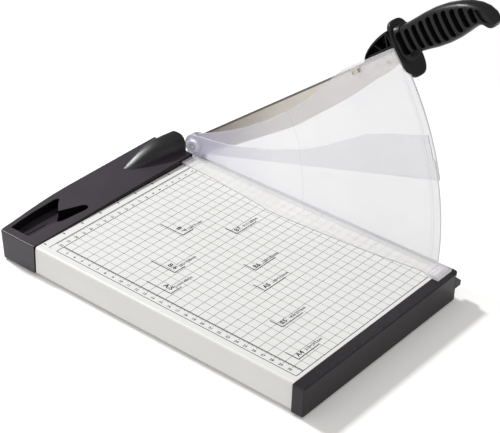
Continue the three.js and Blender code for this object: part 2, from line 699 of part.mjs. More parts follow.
function makePivotCover() {
  const outer = coverBody(0, -BASE_DEPTH).add(humpBody(0));
  const inner = coverBody(COVER_WALL, -BASE_DEPTH - OVERRUN).add(humpBody(COVER_WALL));
  const tub = recessTray(COVER_WALL).add(recessPocket(COVER_WALL)).intersect(outer);
  const [pegX, pegY] = clampPegs[0];
  const shelf = block(pegX - COVER_WALL * 3, -COVER_WALL / 2, CLAMP_NOTCH_Y - COVER_WALL,
    COVER_END_Y - COVER_WALL / 2, -COVER_WALL, 0);
  const bosses = coverScrewPlaces.map((y) => coverBoss(0, -1, y));
  const tabs = footPlaces().slice(0, 2).map(([x, y]) => footTab(x, y, FOOT_INSET + COVER_WALL / 2));
  const shell = joined(cutFrom(outer, inner), tub, shelf, clampWell(pegX, pegY, 0), ...bosses, ...tabs);
  return cutFrom(shell,
    recessTray(0).subtract(trayBar()), recessPocket(0), clampWellBore(pegX, pegY, 0),
    block(-COVER_WALL - OVERRUN, OVERRUN, CLAMP_NOTCH_Y, COVER_END_Y - COVER_WALL, 0,
      coverTopAt(CLAMP_NOTCH_Y) - COVER_WALL),
    ...coverScrewPlaces.map((y) => coverBore(0, -1, y)))
    .intersect(outer);
}

// The handle-end cover: a narrow box with a rounded far corner and a guide for the latch.
function handleCoverBody(inset, floorZ) {
  const left = TABLE_LENGTH + inset;
  const right = handleCoverEndX - inset;
  const near = coverNearY + inset;
  const far = -inset;
  const farCorner = HANDLE_COVER_CORNER - inset;
  const nearCorner = COVER_EDGE;
  const plan = new THREE.Shape();
  plan.moveTo(left, near);
  plan.lineTo(right - nearCorner, near);
  plan.absarc(right - nearCorner, near + nearCorner, nearCorner, -Math.PI / 2, 0, false);
  plan.lineTo(right, far - farCorner);
  plan.absarc(right - farCorner, far - farCorner, farCorner, 0, Math.PI / 2, false);
  plan.lineTo(left, far);
  const front = outline([
    [left, floorZ], [right, floorZ], [right, -inset - COVER_EDGE / 2],
    [right - COVER_EDGE / 2, -inset], [left, -inset],
  ]);
  return raised(plan, floorZ, 0, CORNER_STEPS).intersect(runAlongY(front, near - OVERRUN, far + OVERRUN));
}

function makeHandleCover() {
  const outer = handleCoverBody(0, -BASE_DEPTH);
  const inner = handleCoverBody(COVER_WALL, -BASE_DEPTH - OVERRUN);
  const [pegX, pegY] = clampPegs[1];
  const pocketBack = -LATCH_KEY_DEPTH - GAP;
  const pocketFloor = LATCH_LOW_Z - GAP;
  const pocketX0 = TABLE_LENGTH + COVER_WALL / 2;
  const pocketX1 = handleCoverEndX - COVER_WALL / 2;
  const pocketWalls = [
    block(pocketX0, pocketX1, pocketBack - COVER_WALL, -COVER_WALL / 2,
      pocketFloor - COVER_WALL, pocketFloor),
    block(pocketX0, pocketX1, pocketBack - COVER_WALL, pocketBack,
      pocketFloor - COVER_WALL, -COVER_WALL / 2),
  ];
  const bosses = coverScrewPlaces.map((y) => coverBoss(TABLE_LENGTH, 1, y));
  const tabs = footPlaces().slice(2).map(([x, y]) => footTab(x, y, FOOT_INSET + COVER_WALL / 2));
  const shell = joined(cutFrom(outer, inner), ...pocketWalls, ...bosses, ...tabs, clampWell(pegX, pegY, 0));
  return cutFrom(shell,
    clampWellBore(pegX, pegY, 0),
    block(TABLE_LENGTH + COVER_WALL, handleCoverEndX + OVERRUN, pocketBack, OVERRUN, pocketFloor,
      latchTopAt(-LATCH_KEY_DEPTH) + GAP),
    ...coverScrewPlaces.map((y) => coverBore(TABLE_LENGTH, 1, y)))
    .intersect(outer);
}

// Latch: a thumb slide with a sloped, grooved top and a key that runs in the cover's pocket.
const latchTopAt = (y) => LATCH_LOW_Z + LATCH_END_HEIGHT + (LATCH_PROUD - y) * LATCH_SLOPE_SHARE;

function makeLatch() {
  const end = handleCoverEndX;
  const start = end - LATCH_WIDTH;
  const section = outline([
    [-LATCH_KEY_DEPTH, LATCH_LOW_Z], [LATCH_PROUD, LATCH_LOW_Z],
    [LATCH_PROUD, latchTopAt(LATCH_PROUD)], [-LATCH_KEY_DEPTH, latchTopAt(-LATCH_KEY_DEPTH)],
  ]);
  const body = cutFrom(
    runAlongX(section, start, end),
    block(start - OVERRUN, end - LATCH_KEY_WIDTH, -LATCH_KEY_DEPTH - OVERRUN, GAP,
      LATCH_LOW_Z - OVERRUN, OVERRUN));
  const lower = LATCH_GROOVE / 2;
  const groove = outline([
    [GAP + LATCH_GROOVE, latchTopAt(GAP + LATCH_GROOVE) - lower],
    [LATCH_PROUD + OVERRUN, latchTopAt(LATCH_PROUD + OVERRUN) - lower],
    [LATCH_PROUD + OVERRUN, OVERRUN], [GAP + LATCH_GROOVE, OVERRUN],
  ]);
  const pitch = LATCH_WIDTH / (LATCH_GROOVE_COUNT + 1);
  return cutFrom(body, ...Array.from({ length: LATCH_GROOVE_COUNT }, (_, i) => {
    const middle = start + pitch * (i + 1);
    return runAlongX(groove, middle - LATCH_GROOVE / 2, middle + LATCH_GROOVE / 2);
  }));
}

// Pivot bracket: a joggled steel plate that carries the bolt outside the moving blade.
function makeBracket() {
  const footFar = GAP + BRACKET_THICK;
  const footTop = -BRACKET_THICK;
  const eyeLow = 0;
  const section = outline([
    [GAP, -STRIP_HEIGHT], [footFar, -STRIP_HEIGHT], [footFar, footTop - BRACKET_THICK], [bracketFar, eyeLow],
    [bracketFar, PIVOT_Z + BRACKET_EYE + OVERRUN], [bracketNear, PIVOT_Z + BRACKET_EYE + OVERRUN],
    [bracketNear, eyeLow], [GAP, footTop],
  ]);
  const half = BRACKET_FOOT_WIDTH / 2;
  const side = new THREE.Shape();
  side.moveTo(PIVOT_X - half, -STRIP_HEIGHT + BRACKET_THICK / 2);
  side.lineTo(PIVOT_X + half - BRACKET_THICK, -STRIP_HEIGHT + BRACKET_THICK / 2);
  side.lineTo(PIVOT_X + half - BRACKET_THICK, footTop);
  side.lineTo(PIVOT_X + BRACKET_EYE, PIVOT_Z);
  side.absarc(PIVOT_X, PIVOT_Z, BRACKET_EYE, 0, Math.PI, false);
  side.lineTo(PIVOT_X - half, footTop);
  return cutFrom(
    runAlongX(section, PIVOT_X - half - OVERRUN, PIVOT_X + half + OVERRUN)
      .intersect(runAlongY(side, -OVERRUN, bracketFar + OVERRUN)),
    crosswise(PIVOT_X, PIVOT_Z, BOLT_RADIUS + BUSH_FIT, 0, bracketFar + OVERRUN),
    ...bracketScrewPlaces().map((x) => crosswise(
      x, -STRIP_SCREW_DEPTH, BRACKET_SCREW_RADIUS + GAP, -OVERRUN, bracketFar + OVERRUN, SMALL_SIDES)));
}

function makeBracketScrew(x) {
  const seat = GAP + BRACKET_THICK + GAP;
  return revolvedY([
    [0, -STRIP_WIDTH / 2], [BRACKET_SCREW_RADIUS, -STRIP_WIDTH / 2], [BRACKET_SCREW_RADIUS, seat],
    [BRACKET_SCREW_HEAD, seat], [BRACKET_SCREW_HEAD, seat + BRACKET_SCREW_RADIUS / 2],
    [BRACKET_SCREW_HEAD / 2, seat + BRACKET_SCREW_RADIUS], [0, seat + BRACKET_SCREW_RADIUS],
  ], SCREW_SIDES).translate([x, 0, -STRIP_SCREW_DEPTH]);
}

const atPivot = (made) => made.translate([PIVOT_X, 0, PIVOT_Z]);

function makeBolt() {
  const head = shankNear - BOLT_HEAD_HEIGHT;
  return atPivot(revolvedY([
    [0, head], [BOLT_HEAD_RADIUS - RUNNING * 2, head], [BOLT_HEAD_RADIUS, head + RUNNING * 2],
    [BOLT_HEAD_RADIUS, shankNear], [BOLT_RADIUS, shankNear], [BOLT_RADIUS, nutFar + BOLT_TAIL - RUNNING],
    [BOLT_RADIUS - RUNNING, nutFar + BOLT_TAIL], [0, nutFar + BOLT_TAIL],
  ]));
}

// Clear cap over the bolt head, with a thin flange that lies on the lower guard's hub.
function makeHubCap() {
  const rim = shankNear;
  const face = rim - BOLT_HEAD_HEIGHT - RUNNING - HUB_CAP_WALL;
  return atPivot(revolvedY([
    [0, face], [HUB_CAP_RADIUS - HUB_CAP_WALL, face], [HUB_CAP_RADIUS, face + HUB_CAP_WALL],
    [HUB_CAP_RADIUS, rim - HUB_CAP_RIM_THICK], [HUB_CAP_RIM, rim - HUB_CAP_RIM_THICK], [HUB_CAP_RIM, rim],
    [BOLT_HEAD_RADIUS + RUNNING, rim], [BOLT_HEAD_RADIUS + RUNNING, face + HUB_CAP_WALL],
    [0, face + HUB_CAP_WALL],
  ]));
}

function makeNut() {
  const hexagon = new THREE.Shape();
  for (let k = 0; k < 6; k += 1) {
    const turn = (Math.PI * k) / 3;
    hexagon[k ? "lineTo" : "moveTo"](NUT_FLATS_RADIUS * Math.cos(turn), NUT_FLATS_RADIUS * Math.sin(turn));
  }
  return atPivot(cutFrom(
    runAlongY(hexagon, nutNear, nutFar),
    crosswise(0, 0, BOLT_RADIUS + BUSH_FIT, nutNear - OVERRUN, nutFar + OVERRUN)));
}

// A dished spring washer: its rim bears on the bracket and its bore on the nut.
const makeSpringWasher = () => atPivot(revolvedY([
  [BOLT_RADIUS + RUNNING, springNear + SPRING_WASHER_DISH], [SPRING_WASHER_RADIUS, springNear],
  [SPRING_WASHER_RADIUS, springNear + SPRING_WASHER_THICK], [BOLT_RADIUS + RUNNING, springFar],
  [BOLT_RADIUS + RUNNING, springNear + SPRING_WASHER_DISH],
]));

// A guard in its own frame: origin at the pivot, lower edge level, outer arc about the pivot.
const GUARD_TOP_SHARES = [
  [0.02, 0.0425], [0.092, 0.05], [0.192, 0.0685], [0.286, 0.096], [0.39, 0.1335], [0.508, 0.187],
  [0.617, 0.255], [0.7, 0.3095],
];
const GUARD_CORNER_SHARE = 0.385;

function guardShape(cut) {
  const shape = new THREE.Shape();
  const cornerZ = GUARD_RADIUS * GUARD_CORNER_SHARE;
  const cutRadius = GUARD_RADIUS - cut;
  const cornerX = Math.sqrt(cutRadius ** 2 - cornerZ ** 2);
  const cutTurn = Math.atan2(cornerZ, cornerX) - CUT_LENGTH / GUARD_RADIUS;
  const outerTurn = cutTurn - cut / GUARD_RADIUS;
  const lowTurn = -Math.asin(GUARD_DROP / GUARD_RADIUS);
  shape.moveTo(0, -GUARD_DROP);
  shape.lineTo(GUARD_RADIUS * Math.cos(lowTurn), -GUARD_DROP);
  shape.absarc(0, 0, GUARD_RADIUS, lowTurn, outerTurn, false);
  shape.absarc(0, 0, cutRadius, cutTurn, Math.atan2(cornerZ, cornerX), false);
  const top = GUARD_TOP_SHARES.map(([x, z]) => [x * GUARD_RADIUS, z * GUARD_RADIUS]).reverse();
  throughPoints(top, CURVE_STEPS).forEach((point) => shape.lineTo(point.x, point.y));
  shape.lineTo(0, GUARD_DROP);
  return shape;
}

// Beads that stiffen a guard: one inside the outer arc and one along the straight top edge.
function guardBeads(cut, near) {
  const inner = GUARD_RADIUS - GUARD_RIM_WIDTH;
  const lowTurn = -Math.asin((GUARD_DROP - GUARD_BEAD) / GUARD_RADIUS);
  const cornerZ = GUARD_RADIUS * GUARD_CORNER_SHARE;
  const cutTurn = Math.asin(cornerZ / GUARD_RADIUS) - (CUT_LENGTH + cut) / GUARD_RADIUS;
  const band = new THREE.Shape();
  band.absarc(0, 0, GUARD_RADIUS - RUNNING, lowTurn, cutTurn, false);
  band.absarc(0, 0, inner, cutTurn, lowTurn, true);
  const [startX, startZ] = GUARD_TOP_SHARES.at(-1).map((share) => share * GUARD_RADIUS);
  const endX = Math.sqrt((GUARD_RADIUS - cut) ** 2 - cornerZ ** 2) - GUARD_BEAD;
  const strip = outline([
    [startX, startZ - GUARD_BEAD], [endX, cornerZ - GUARD_BEAD],
    [endX, cornerZ - RUNNING], [startX, startZ - RUNNING],
  ]);
  return [band, strip].map((shape) =>
    runAlongY(shape, near - GUARD_RIM_PROUD, near + GUARD_SHEET / 2, LARGE_SIDES));
}

function makeGuard(cut, near, window) {
  const hub = ringY(BOLT_RADIUS + RUNNING, GUARD_HUB, near, near + GUARD_SHEET, LARGE_SIDES);
  const sheet = runAlongY(guardShape(cut), near, near + GUARD_SHEET, LARGE_SIDES);
  const bore = crosswise(0, 0, BOLT_RADIUS + RUNNING, near - OVERRUN, near + GUARD_SHEET + OVERRUN);
  const whole = cutFrom(joined(sheet, hub, ...guardBeads(cut, near)), bore);
  return window ? whole.subtract(window) : whole;
}

// The window near the upper guard's top edge and the T-shaped catch plate that sits in it.
const bladeTurn = THREE.MathUtils.degToRad(BLADE_RAISE_DEG - GUARD_STEP_DEG);
const intoGuard = (made) => made.rotate([0, (-bladeTurn * 180) / Math.PI, 0]);

function guardWindow() {
  const half = GUARD_WINDOW_LENGTH / 2;
  return intoGuard(block(guardWindowRadius - half, guardWindowRadius + half,
    upperGuardNear - OVERRUN, upperGuardFar + OVERRUN,
    GUARD_WINDOW_RISE - GUARD_WINDOW_HEIGHT / 2, GUARD_WINDOW_RISE + GUARD_WINDOW_HEIGHT / 2));
}

function makeCatch() {
  const half = GUARD_WINDOW_LENGTH / 2 - GAP;
  const top = GUARD_WINDOW_RISE + GUARD_WINDOW_HEIGHT / 2 - GAP;
  const bottom = top - GUARD_WINDOW_HEIGHT + GAP * 2;
  const stem = GUARD_WINDOW_LENGTH / 8;
  const tee = outline([
    [-half, top - CATCH_BAR], [-stem, top - CATCH_BAR], [-stem, bottom], [stem, bottom],
    [stem, top - CATCH_BAR], [half, top - CATCH_BAR], [half, top], [-half, top],
  ].map(([x, z]) => [x + guardWindowRadius, z]));
  return intoGuard(runAlongY(tee, upperGuardNear, upperGuardFar));
}

// Blade: a flat bar with a bellied lower edge ground on the far side, and a round eye for its bush.
const BLADE_EDGE_SHARES = [
  [0, 0.42], [0.06, 0.575], [0.1, 0.635], [0.155, 0.71], [0.215, 0.78], [0.32, 0.89], [0.45, 1], [0.52, 1],
  [0.615, 0.92], [0.755, 0.81], [0.895, 0.56], [0.95, 0.5], [1, 0.36],
];

function makeBlade() {
  const edge = throughPoints(BLADE_EDGE_SHARES, BLADE_STEPS);
  const rings = edge.map(({ x: along, y: drop }) => {
    const r = along * BLADE_LENGTH;
    const low = -drop * BLADE_BELLY;
    const back = BLADE_BACK_HUB + (BLADE_BACK_TIP - BLADE_BACK_HUB) * along;
    return [
      new THREE.Vector3(r, bladeNear, low), new THREE.Vector3(r, bladeNear + BLADE_EDGE_THICK, low),
      new THREE.Vector3(r, bladeFar, low + BLADE_BEVEL), new THREE.Vector3(r, bladeFar, back),
      new THREE.Vector3(r, bladeNear, back),
    ];
  });
  const bush = BOLT_RADIUS + RUNNING + BUSH_WALL + BUSH_FIT;
  const eye = crosswise(0, 0, BLADE_EYE, bladeNear, bladeFar, LARGE_SIDES);
  return cutFrom(
    joined(loft(rings), eye),
    crosswise(0, 0, bush, bladeNear - OVERRUN, bladeFar + OVERRUN),
    ...handleScrewPlaces().map(([x, z]) => handleScrew(x, z, GAP)));
}

const handleScrewPlaces = () => [
  [discBack - HANDLE_SCREW_INNER_SETBACK, -HANDLE_SCREW_DROP],
  [discBack - HANDLE_SCREW_OUTER_SETBACK, -HANDLE_SCREW_DROP],
];

// A screw from the near side whose flat head lies level in the blade, and the seat it leaves when grown.
function handleScrew(x, z, grow) {
  const head = HANDLE_SCREW_HEAD + grow;
  const shank = HANDLE_SCREW_RADIUS + grow;
  const face = bladeNear + (grow ? -OVERRUN : RUNNING / 2);
  const cone = bladeNear + BLADE_THICK / 2;
  return revolvedY([
    [0, face], [head, face], [head, bladeNear + RUNNING], [shank, cone + grow],
    [shank, bladeFar + HANDLE_SCREW_LENGTH + grow], [0, bladeFar + HANDLE_SCREW_LENGTH + grow],
  ], SCREW_SIDES).translate([x, 0, z]);
}

// Grip: sections from the finger guard to the hooked pommel, each between a point on the palm side and
// one on the finger side, in shares of the grip's length, with the half thickness in its own share.
const GRIP_SHARES = [
  [0, 0.222, 0, -0.092, 1.14], [0.05, 0.212, 0.05, -0.072, 1.03], [0.126, 0.211, 0.126, -0.064, 1],
  [0.235, 0.219, 0.235, -0.077, 1], [0.354, 0.228, 0.354, -0.094, 1], [0.476, 0.23, 0.476, -0.1, 1],
  [0.594, 0.218, 0.59, -0.094, 1], [0.725, 0.188, 0.69, -0.08, 0.99], [0.81, 0.157, 0.765, -0.066, 0.97],
  [0.89, 0.108, 0.83, -0.062, 0.93], [0.945, 0.056, 0.865, -0.075, 0.88], [0.985, -0.01, 0.878, -0.098, 0.8],
  [0.995, -0.062, 0.888, -0.112, 0.7], [0.985, -0.1, 0.905, -0.124, 0.55],
  [0.955, -0.122, 0.93, -0.127, 0.3],
];
const COLLAR_SHARES = [[0, 1], [0.25, 0.9], [0.45, 0.5], [0.7, 0.15], [1, -0.1]];
const gripCentreY = DISC_NEAR_FACE + DISC_HALF_WIDTH;
const gripStart = discBack + DISC_THICK;

function gripEdge(share, column) {
  const next = GRIP_SHARES.findIndex((row) => row[column] >= share);
  const [a, b] = [GRIP_SHARES[next - 1], GRIP_SHARES[next]];
  const mix = (share - a[column]) / (b[column] - a[column]);
  return (a[column + 1] + (b[column + 1] - a[column + 1]) * mix) * GRIP_LENGTH;
}

function makeGrip() {
  const across = new THREE.Vector3(0, -1, 0);
  const reach = GRIP_LENGTH + DISC_EDGE;
  const point = (along, up) =>
    new THREE.Vector3(gripStart - DISC_EDGE + along * reach, gripCentreY, up * GRIP_LENGTH);
  return loft(GRIP_SHARES.map(([topX, topZ, lowX, lowZ, thick]) => roundRing(
    point(lowX, lowZ), point(topX, topZ), GRIP_HALF_THICK * thick, across,
    GRIP_SQUARENESS, GRIP_RING_POINTS)));
}

const LAST_SLOT_SHARE = 0.82;

// Finger slots on both faces of the grip, each as long as the grip's height there leaves room for.
function gripSlots() {
  const slots = [];
  for (let i = 0; i < GRIP_SLOT_COUNT; i += 1) {
    const x = gripStart + GRIP_SLOT_START + i * GRIP_SLOT_PITCH;
    const share = (x - gripStart) / GRIP_LENGTH;
    const top = gripEdge(share, 0) - GRIP_SLOT_TOP_INSET;
    const low = gripEdge(Math.min(share, LAST_SLOT_SHARE), 2) + GRIP_SLOT_LOW_INSET;
    const half = GRIP_SLOT_WIDTH / 2;
    const slot = new THREE.Shape();
    slot.absarc(x, low + half, half, Math.PI, 2 * Math.PI, false);
    slot.absarc(x, Math.max(top - half, low + GRIP_SLOT_WIDTH), half, 0, Math.PI, false);
    const nearFace = gripCentreY - GRIP_HALF_THICK;
    const farFace = gripCentreY + GRIP_HALF_THICK;
    slots.push(runAlongY(slot, nearFace - OVERRUN, nearFace + GRIP_SLOT_DEPTH, CORNER_STEPS));
    slots.push(runAlongY(slot, farFace - GRIP_SLOT_DEPTH, farFace + OVERRUN, CORNER_STEPS));
  }
  return slots;
}

// The larger hollow in each side of the pommel.
const POMMEL_POCKET_SHARES = [
  [0.875, 0.075], [0.915, 0.055], [0.95, 0.005], [0.965, -0.055], [0.95, -0.075], [0.905, -0.05], [0.885, 0],
];

function pommelPockets() {
  const shape = outline(throughPoints(POMMEL_POCKET_SHARES.map(([x, z]) =>
    [gripStart + x * GRIP_LENGTH, z * GRIP_LENGTH]), CHEEK_STEPS).map(({ x, y }) => [x, y]).reverse());
  const depth = GRIP_SLOT_DEPTH / 2;
  const nearFace = gripCentreY - GRIP_HALF_THICK;
  const farFace = gripCentreY + GRIP_HALF_THICK;
  return [
    runAlongY(shape, nearFace - OVERRUN, nearFace + depth),
    runAlongY(shape, farFace - depth, farFace + OVERRUN),
  ];
}

function makeDisc() {
  const across = new THREE.Vector3(1, 0, 0);
  const low = new THREE.Vector3(gripCentreY, DISC_RISE - DISC_HALF_HEIGHT, 0);
  const high = new THREE.Vector3(gripCentreY, DISC_RISE + DISC_HALF_HEIGHT, 0);
  const ring = roundRing(low, high, DISC_HALF_WIDTH, across, DISC_SQUARENESS, DISC_RING_POINTS);
  return runAlongX(outline(ring.map(({ x, y }) => [x, y])), discBack, discBack + DISC_THICK, 1, DISC_EDGE);
}

// A flare that carries the grip's first section out to the disc.
function makeCollar() {
  const across = new THREE.Vector3(0, -1, 0);
  const [, topShare, , lowShare, thick] = GRIP_SHARES[0];
  return loft(COLLAR_SHARES.map(([along, grow]) => {
    const x = gripStart - DISC_EDGE + along * (COLLAR_LENGTH + DISC_EDGE);
    const flare = COLLAR_FLARE * grow;
    return roundRing(new THREE.Vector3(x, gripCentreY, lowShare * GRIP_LENGTH - flare),
      new THREE.Vector3(x, gripCentreY, topShare * GRIP_LENGTH + flare / 2),
      GRIP_HALF_THICK * thick + flare / 2, across, GRIP_SQUARENESS, GRIP_RING_POINTS);
  }));
}

// Gusset: a quarter-round shell ahead of the disc with two ribs, above the blade's back.
const GUSSET_SHARES = [[0, 0], [0.05, 0.16], [0.17, 0.37], [0.36, 0.6], [0.6, 0.8], [0.82, 0.93], [1, 1]];

function gussetOutline(inset) {
  const start = discBack - GUSSET_LENGTH;
  const points = GUSSET_SHARES.map(([x, z]) => [
    start + inset * (1 - x) + x * GUSSET_LENGTH,
    GUSSET_BASE + inset / 4 + z * (GUSSET_HEIGHT - inset * 1.25),
  ]);
  const end = discBack + GUSSET_WALL / 2;
  const curve = throughPoints(points, CHEEK_STEPS).map(({ x, y }) => [x, y]);
  return outline([
    ...curve, [end, GUSSET_BASE + GUSSET_HEIGHT - inset], [end, GUSSET_BASE + inset / 4],
  ].reverse());
}

function makeGusset() {
  const near = DISC_NEAR_FACE;
  const far = near + GUSSET_WIDTH;
  const hollow = runAlongY(gussetOutline(GUSSET_WALL), near - OVERRUN, far - GUSSET_WALL)
    .subtract(block(discBack, discBack + GUSSET_LENGTH, near - OVERRUN * 2, far, 0, GUSSET_HEIGHT * 2));
  const rib = (x, lean) => runAlongY(outline([
    [x - GUSSET_WALL / 4, GUSSET_BASE], [x + GUSSET_WALL / 4, GUSSET_BASE],
    [x + lean + GUSSET_WALL / 4, GUSSET_BASE + GUSSET_HEIGHT],
    [x + lean - GUSSET_WALL / 4, GUSSET_BASE + GUSSET_HEIGHT],
  ]), near + GUSSET_WALL, far - GUSSET_WALL / 2)
    .intersect(runAlongY(gussetOutline(GUSSET_WALL / 2), near, far));
  const length = GUSSET_LENGTH;
  return joined(
    runAlongY(gussetOutline(0), near, far).subtract(hollow),
    rib(discBack - length * 0.36, -length / 3), rib(discBack - length * 0.22, length / 6));
}

function makeHandle() {
  const cheekNear = bladeFar + GAP;
  const cheek = new THREE.Shape();
  const start = discBack - CHEEK_LENGTH;
  cheek.absarc(start + CHEEK_HALF_HEIGHT, 0, CHEEK_HALF_HEIGHT, Math.PI / 2, (3 * Math.PI) / 2, false);
  cheek.lineTo(discBack + GUSSET_WALL, -CHEEK_HALF_HEIGHT);
  cheek.lineTo(discBack + GUSSET_WALL, GUSSET_BASE + GUSSET_WALL);
  cheek.lineTo(start + CHEEK_HALF_HEIGHT, GUSSET_BASE + GUSSET_WALL);
  const whole = joined(
    makeDisc(), makeGrip(), makeCollar(), makeGusset(),
    runAlongY(cheek, cheekNear, cheekNear + CHEEK_THICK, CORNER_STEPS));
  return cutFrom(whole, ...gripSlots(), ...pommelPockets(),
    ...handleScrewPlaces().map(([x, z]) => handleScrew(x, z, GAP)));
}

// Paper clamp: a bowed clear plate with a tongue under the cover, ribs by the pivot and a raised end.
const CLAMP_BOW_SHARES = [
  [0.07, 0.1], [0.13, 0.16], [0.2, 0.38], [0.345, 0.8], [0.41, 1], [0.6, 0.78], [0.77, 0.46],
];

function makeClamp() {
  const low = CLAMP_LIFT;
  const belly = -CLAMP_BELLY - CLAMP_START_NEAR_Y;
  const bow = throughPoints([
    [GAP * 4, CLAMP_START_NEAR_Y],
    ...CLAMP_BOW_SHARES.map(([x, y]) => [x * clampEndX, CLAMP_START_NEAR_Y + y * belly]),
    [clampEndX - 2 * CLAMP_END_BOX, CLAMP_START_NEAR_Y], [clampEndX - CLAMP_END_BOX, CLAMP_START_NEAR_Y],
  ], CLAMP_STEPS).map(({ x, y }) => [x, y]);
  const plan = outline([
    [CLAMP_TONGUE_X, CLAMP_TONGUE_FAR_Y], [CLAMP_TONGUE_X, CLAMP_START_NEAR_Y], ...bow,
    [clampEndX - CLAMP_END_BOX, CLAMP_END_NEAR_Y], [clampEndX, CLAMP_END_NEAR_Y],
    [clampEndX, CLAMP_FAR_Y - CLAMP_RIM],
    [clampEndX - CLAMP_RIM, CLAMP_FAR_Y], [GAP * 4, CLAMP_FAR_Y], [GAP * 4, CLAMP_TONGUE_FAR_Y],
  ]);
  const endBox = block(clampEndX - CLAMP_END_BOX, clampEndX, CLAMP_END_NEAR_Y, CLAMP_FAR_Y,
    low, clampTop + CLAMP_END_HEIGHT);
  const pocket = block(clampEndX - CLAMP_END_BOX + CLAMP_RIM, clampEndX - CLAMP_RIM * 2,
    CLAMP_END_NEAR_Y + CLAMP_RIM, CLAMP_FAR_Y - CLAMP_RIM, clampTop, clampTop + CLAMP_END_HEIGHT + OVERRUN);
  const ribPitch = (CLAMP_TONGUE_FAR_Y - CLAMP_START_NEAR_Y) / CLAMP_RIB_COUNT;
  const ribs = Array.from({ length: CLAMP_RIB_COUNT }, (_, i) => {
    const y = CLAMP_START_NEAR_Y + ribPitch * (i + 1 / 2);
    return block(0, CLAMP_RIB_LENGTH, y - CLAMP_RIB_WIDTH / 2, y + CLAMP_RIB_WIDTH / 2,
      clampTop - CLAMP_THICK / 2, clampTop + CLAMP_RIB_HEIGHT);
  });
  const pegs = clampPegs.map(([x, y]) => upright(
    x, y, CLAMP_PEG_RADIUS, clampClipTop - CLAMP_CLIP_THICK - CLAMP_PEG_TAIL,
    low + CLAMP_THICK / 2, SCREW_SIDES));
  return joined(raised(plan, low, clampTop), cutFrom(endBox, pocket), ...ribs, ...pegs);
}

// The clip on a peg's lower end, which stops the clamp's rise under the well.
const makeClampClip = ([x, y]) => solid(revolved([
  [CLAMP_PEG_RADIUS + BUSH_FIT, clampClipTop - CLAMP_CLIP_THICK],
  [CLAMP_CLIP_RADIUS, clampClipTop - CLAMP_CLIP_THICK],
  [CLAMP_CLIP_RADIUS, clampClipTop], [CLAMP_PEG_RADIUS + BUSH_FIT, clampClipTop],
  [CLAMP_PEG_RADIUS + BUSH_FIT, clampClipTop - CLAMP_CLIP_THICK],
], SCREW_SIDES)).translate([x, y, 0]);

// The return spring round a peg, as the sleeve that its coils fill.
function makeClampSpring([x, y]) {
  const foot = -CLAMP_WELL_DEPTH + GAP;
  const head = CLAMP_LIFT - GAP;
  const inner = CLAMP_SPRING_RADIUS - CLAMP_SPRING_WALL;
  return solid(revolved([
    [inner, foot], [CLAMP_SPRING_RADIUS, foot], [CLAMP_SPRING_RADIUS, head], [inner, head], [inner, foot],
  ], SCREW_SIDES)).translate([x, y, 0]);
}

place(base, "table_top", makeTable(), whitePaint);
place(base, "pivot_end_cover", makePivotCover(), coverPlastic);
place(base, "handle_end_cover", makeHandleCover(), coverPlastic);
place(base, "counter_blade", makeCounterBlade(), steel);
stripScrewPlaces().forEach((x, i) => place(base, `counter_blade_screw_${i + 1}`,
  countersunk(x, -STRIP_SCREW_DEPTH, 0, STRIP_SCREW_RADIUS, STRIP_SCREW_HEAD, STRIP_WIDTH), zincSteel));
[[0, -1], [TABLE_LENGTH, 1]].forEach(([x, side], i) => coverScrewPlaces.forEach((y, k) =>
  place(base, `cover_screw_${2 * i + k + 1}`, makeCoverScrew(x, side, y), zincSteel)));
footPlaces().forEach(([x, y], i) => place(base, `foot_${i + 1}`, makeFoot(x, y), rubber));
place(base, "pivot_bracket", makeBracket(), zincSteel);
bracketScrewPlaces().forEach((x, i) =>
  place(base, `bracket_screw_${i + 1}`, makeBracketScrew(x), zincSteel));
place(base, "pivot_bolt", makeBolt(), zincSteel);
place(base, "hub_cap", makeHubCap(), clearPlastic);
place(base, "guard_washer", atPivot(ringY(BOLT_RADIUS + RUNNING, WASHER_RADIUS,
  lowerGuardFar + RUNNING, upperGuardNear - RUNNING)), zincSteel);
place(base, "blade_washer", atPivot(ringY(BOLT_RADIUS + RUNNING, WASHER_RADIUS,
  upperGuardFar + RUNNING, bladeNear - RUNNING)), zincSteel);
place(base, "thrust_washer", atPivot(ringY(BOLT_RADIUS + RUNNING, WASHER_RADIUS,
  bladeFar + RUNNING, bracketNear - RUNNING)), brass);
place(base, "spring_washer", makeSpringWasher(), steel);
place(base, "pivot_nut", makeNut(), zincSteel);
clampPegs.forEach((peg, i) => {
  place(clamp, `clamp_clip_${i + 1}`, makeClampClip(peg), zincSteel);
  place(base, `clamp_spring_${i + 1}`, makeClampSpring(peg), steel);
});
place(clamp, "paper_clamp", makeClamp(), clearPlastic);
place(latch, "blade_latch", makeLatch(), gripPlastic);
place(lowerGuardTurn, "lower_guard", makeGuard(LOWER_GUARD_CUT, lowerGuardNear), clearPlastic);
place(upperGuardTurn, "upper_guard",
  makeGuard(UPPER_GUARD_CUT, upperGuardNear, guardWindow()), clearPlastic);
place(upperGuardTurn, "guard_catch", makeCatch(), steel);
place(arm, "moving_blade", makeBlade(), steel);
place(arm, "pivot_bush",
  ringY(BOLT_RADIUS + RUNNING, BOLT_RADIUS + RUNNING + BUSH_WALL, bladeNear, bladeFar), brass);
place(arm, "handle", makeHandle(), gripPlastic);
handleScrewPlaces().forEach(([x, z], i) =>
  place(arm, `handle_screw_${i + 1}`, handleScrew(x, z, 0), zincSteel));

// The origin is the centre of the footprint, on the ground.
cutter.updateMatrixWorld(true);
const bounds = new THREE.Box3().setFromObject(cutter, true);
cutter.position.set(-(bounds.min.x + bounds.max.x) / 2, -(bounds.min.y + bounds.max.y) / 2, -bounds.min.z);

export default cutter;
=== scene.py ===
"""Looks of a desk guillotine paper cutter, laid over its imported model.

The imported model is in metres. Places on the cutter are named in millimetres from the corner where the guide
meets the cutting edge: X along the cut, Y away from the user, Z up from the table's top. MM makes them metres.
"""

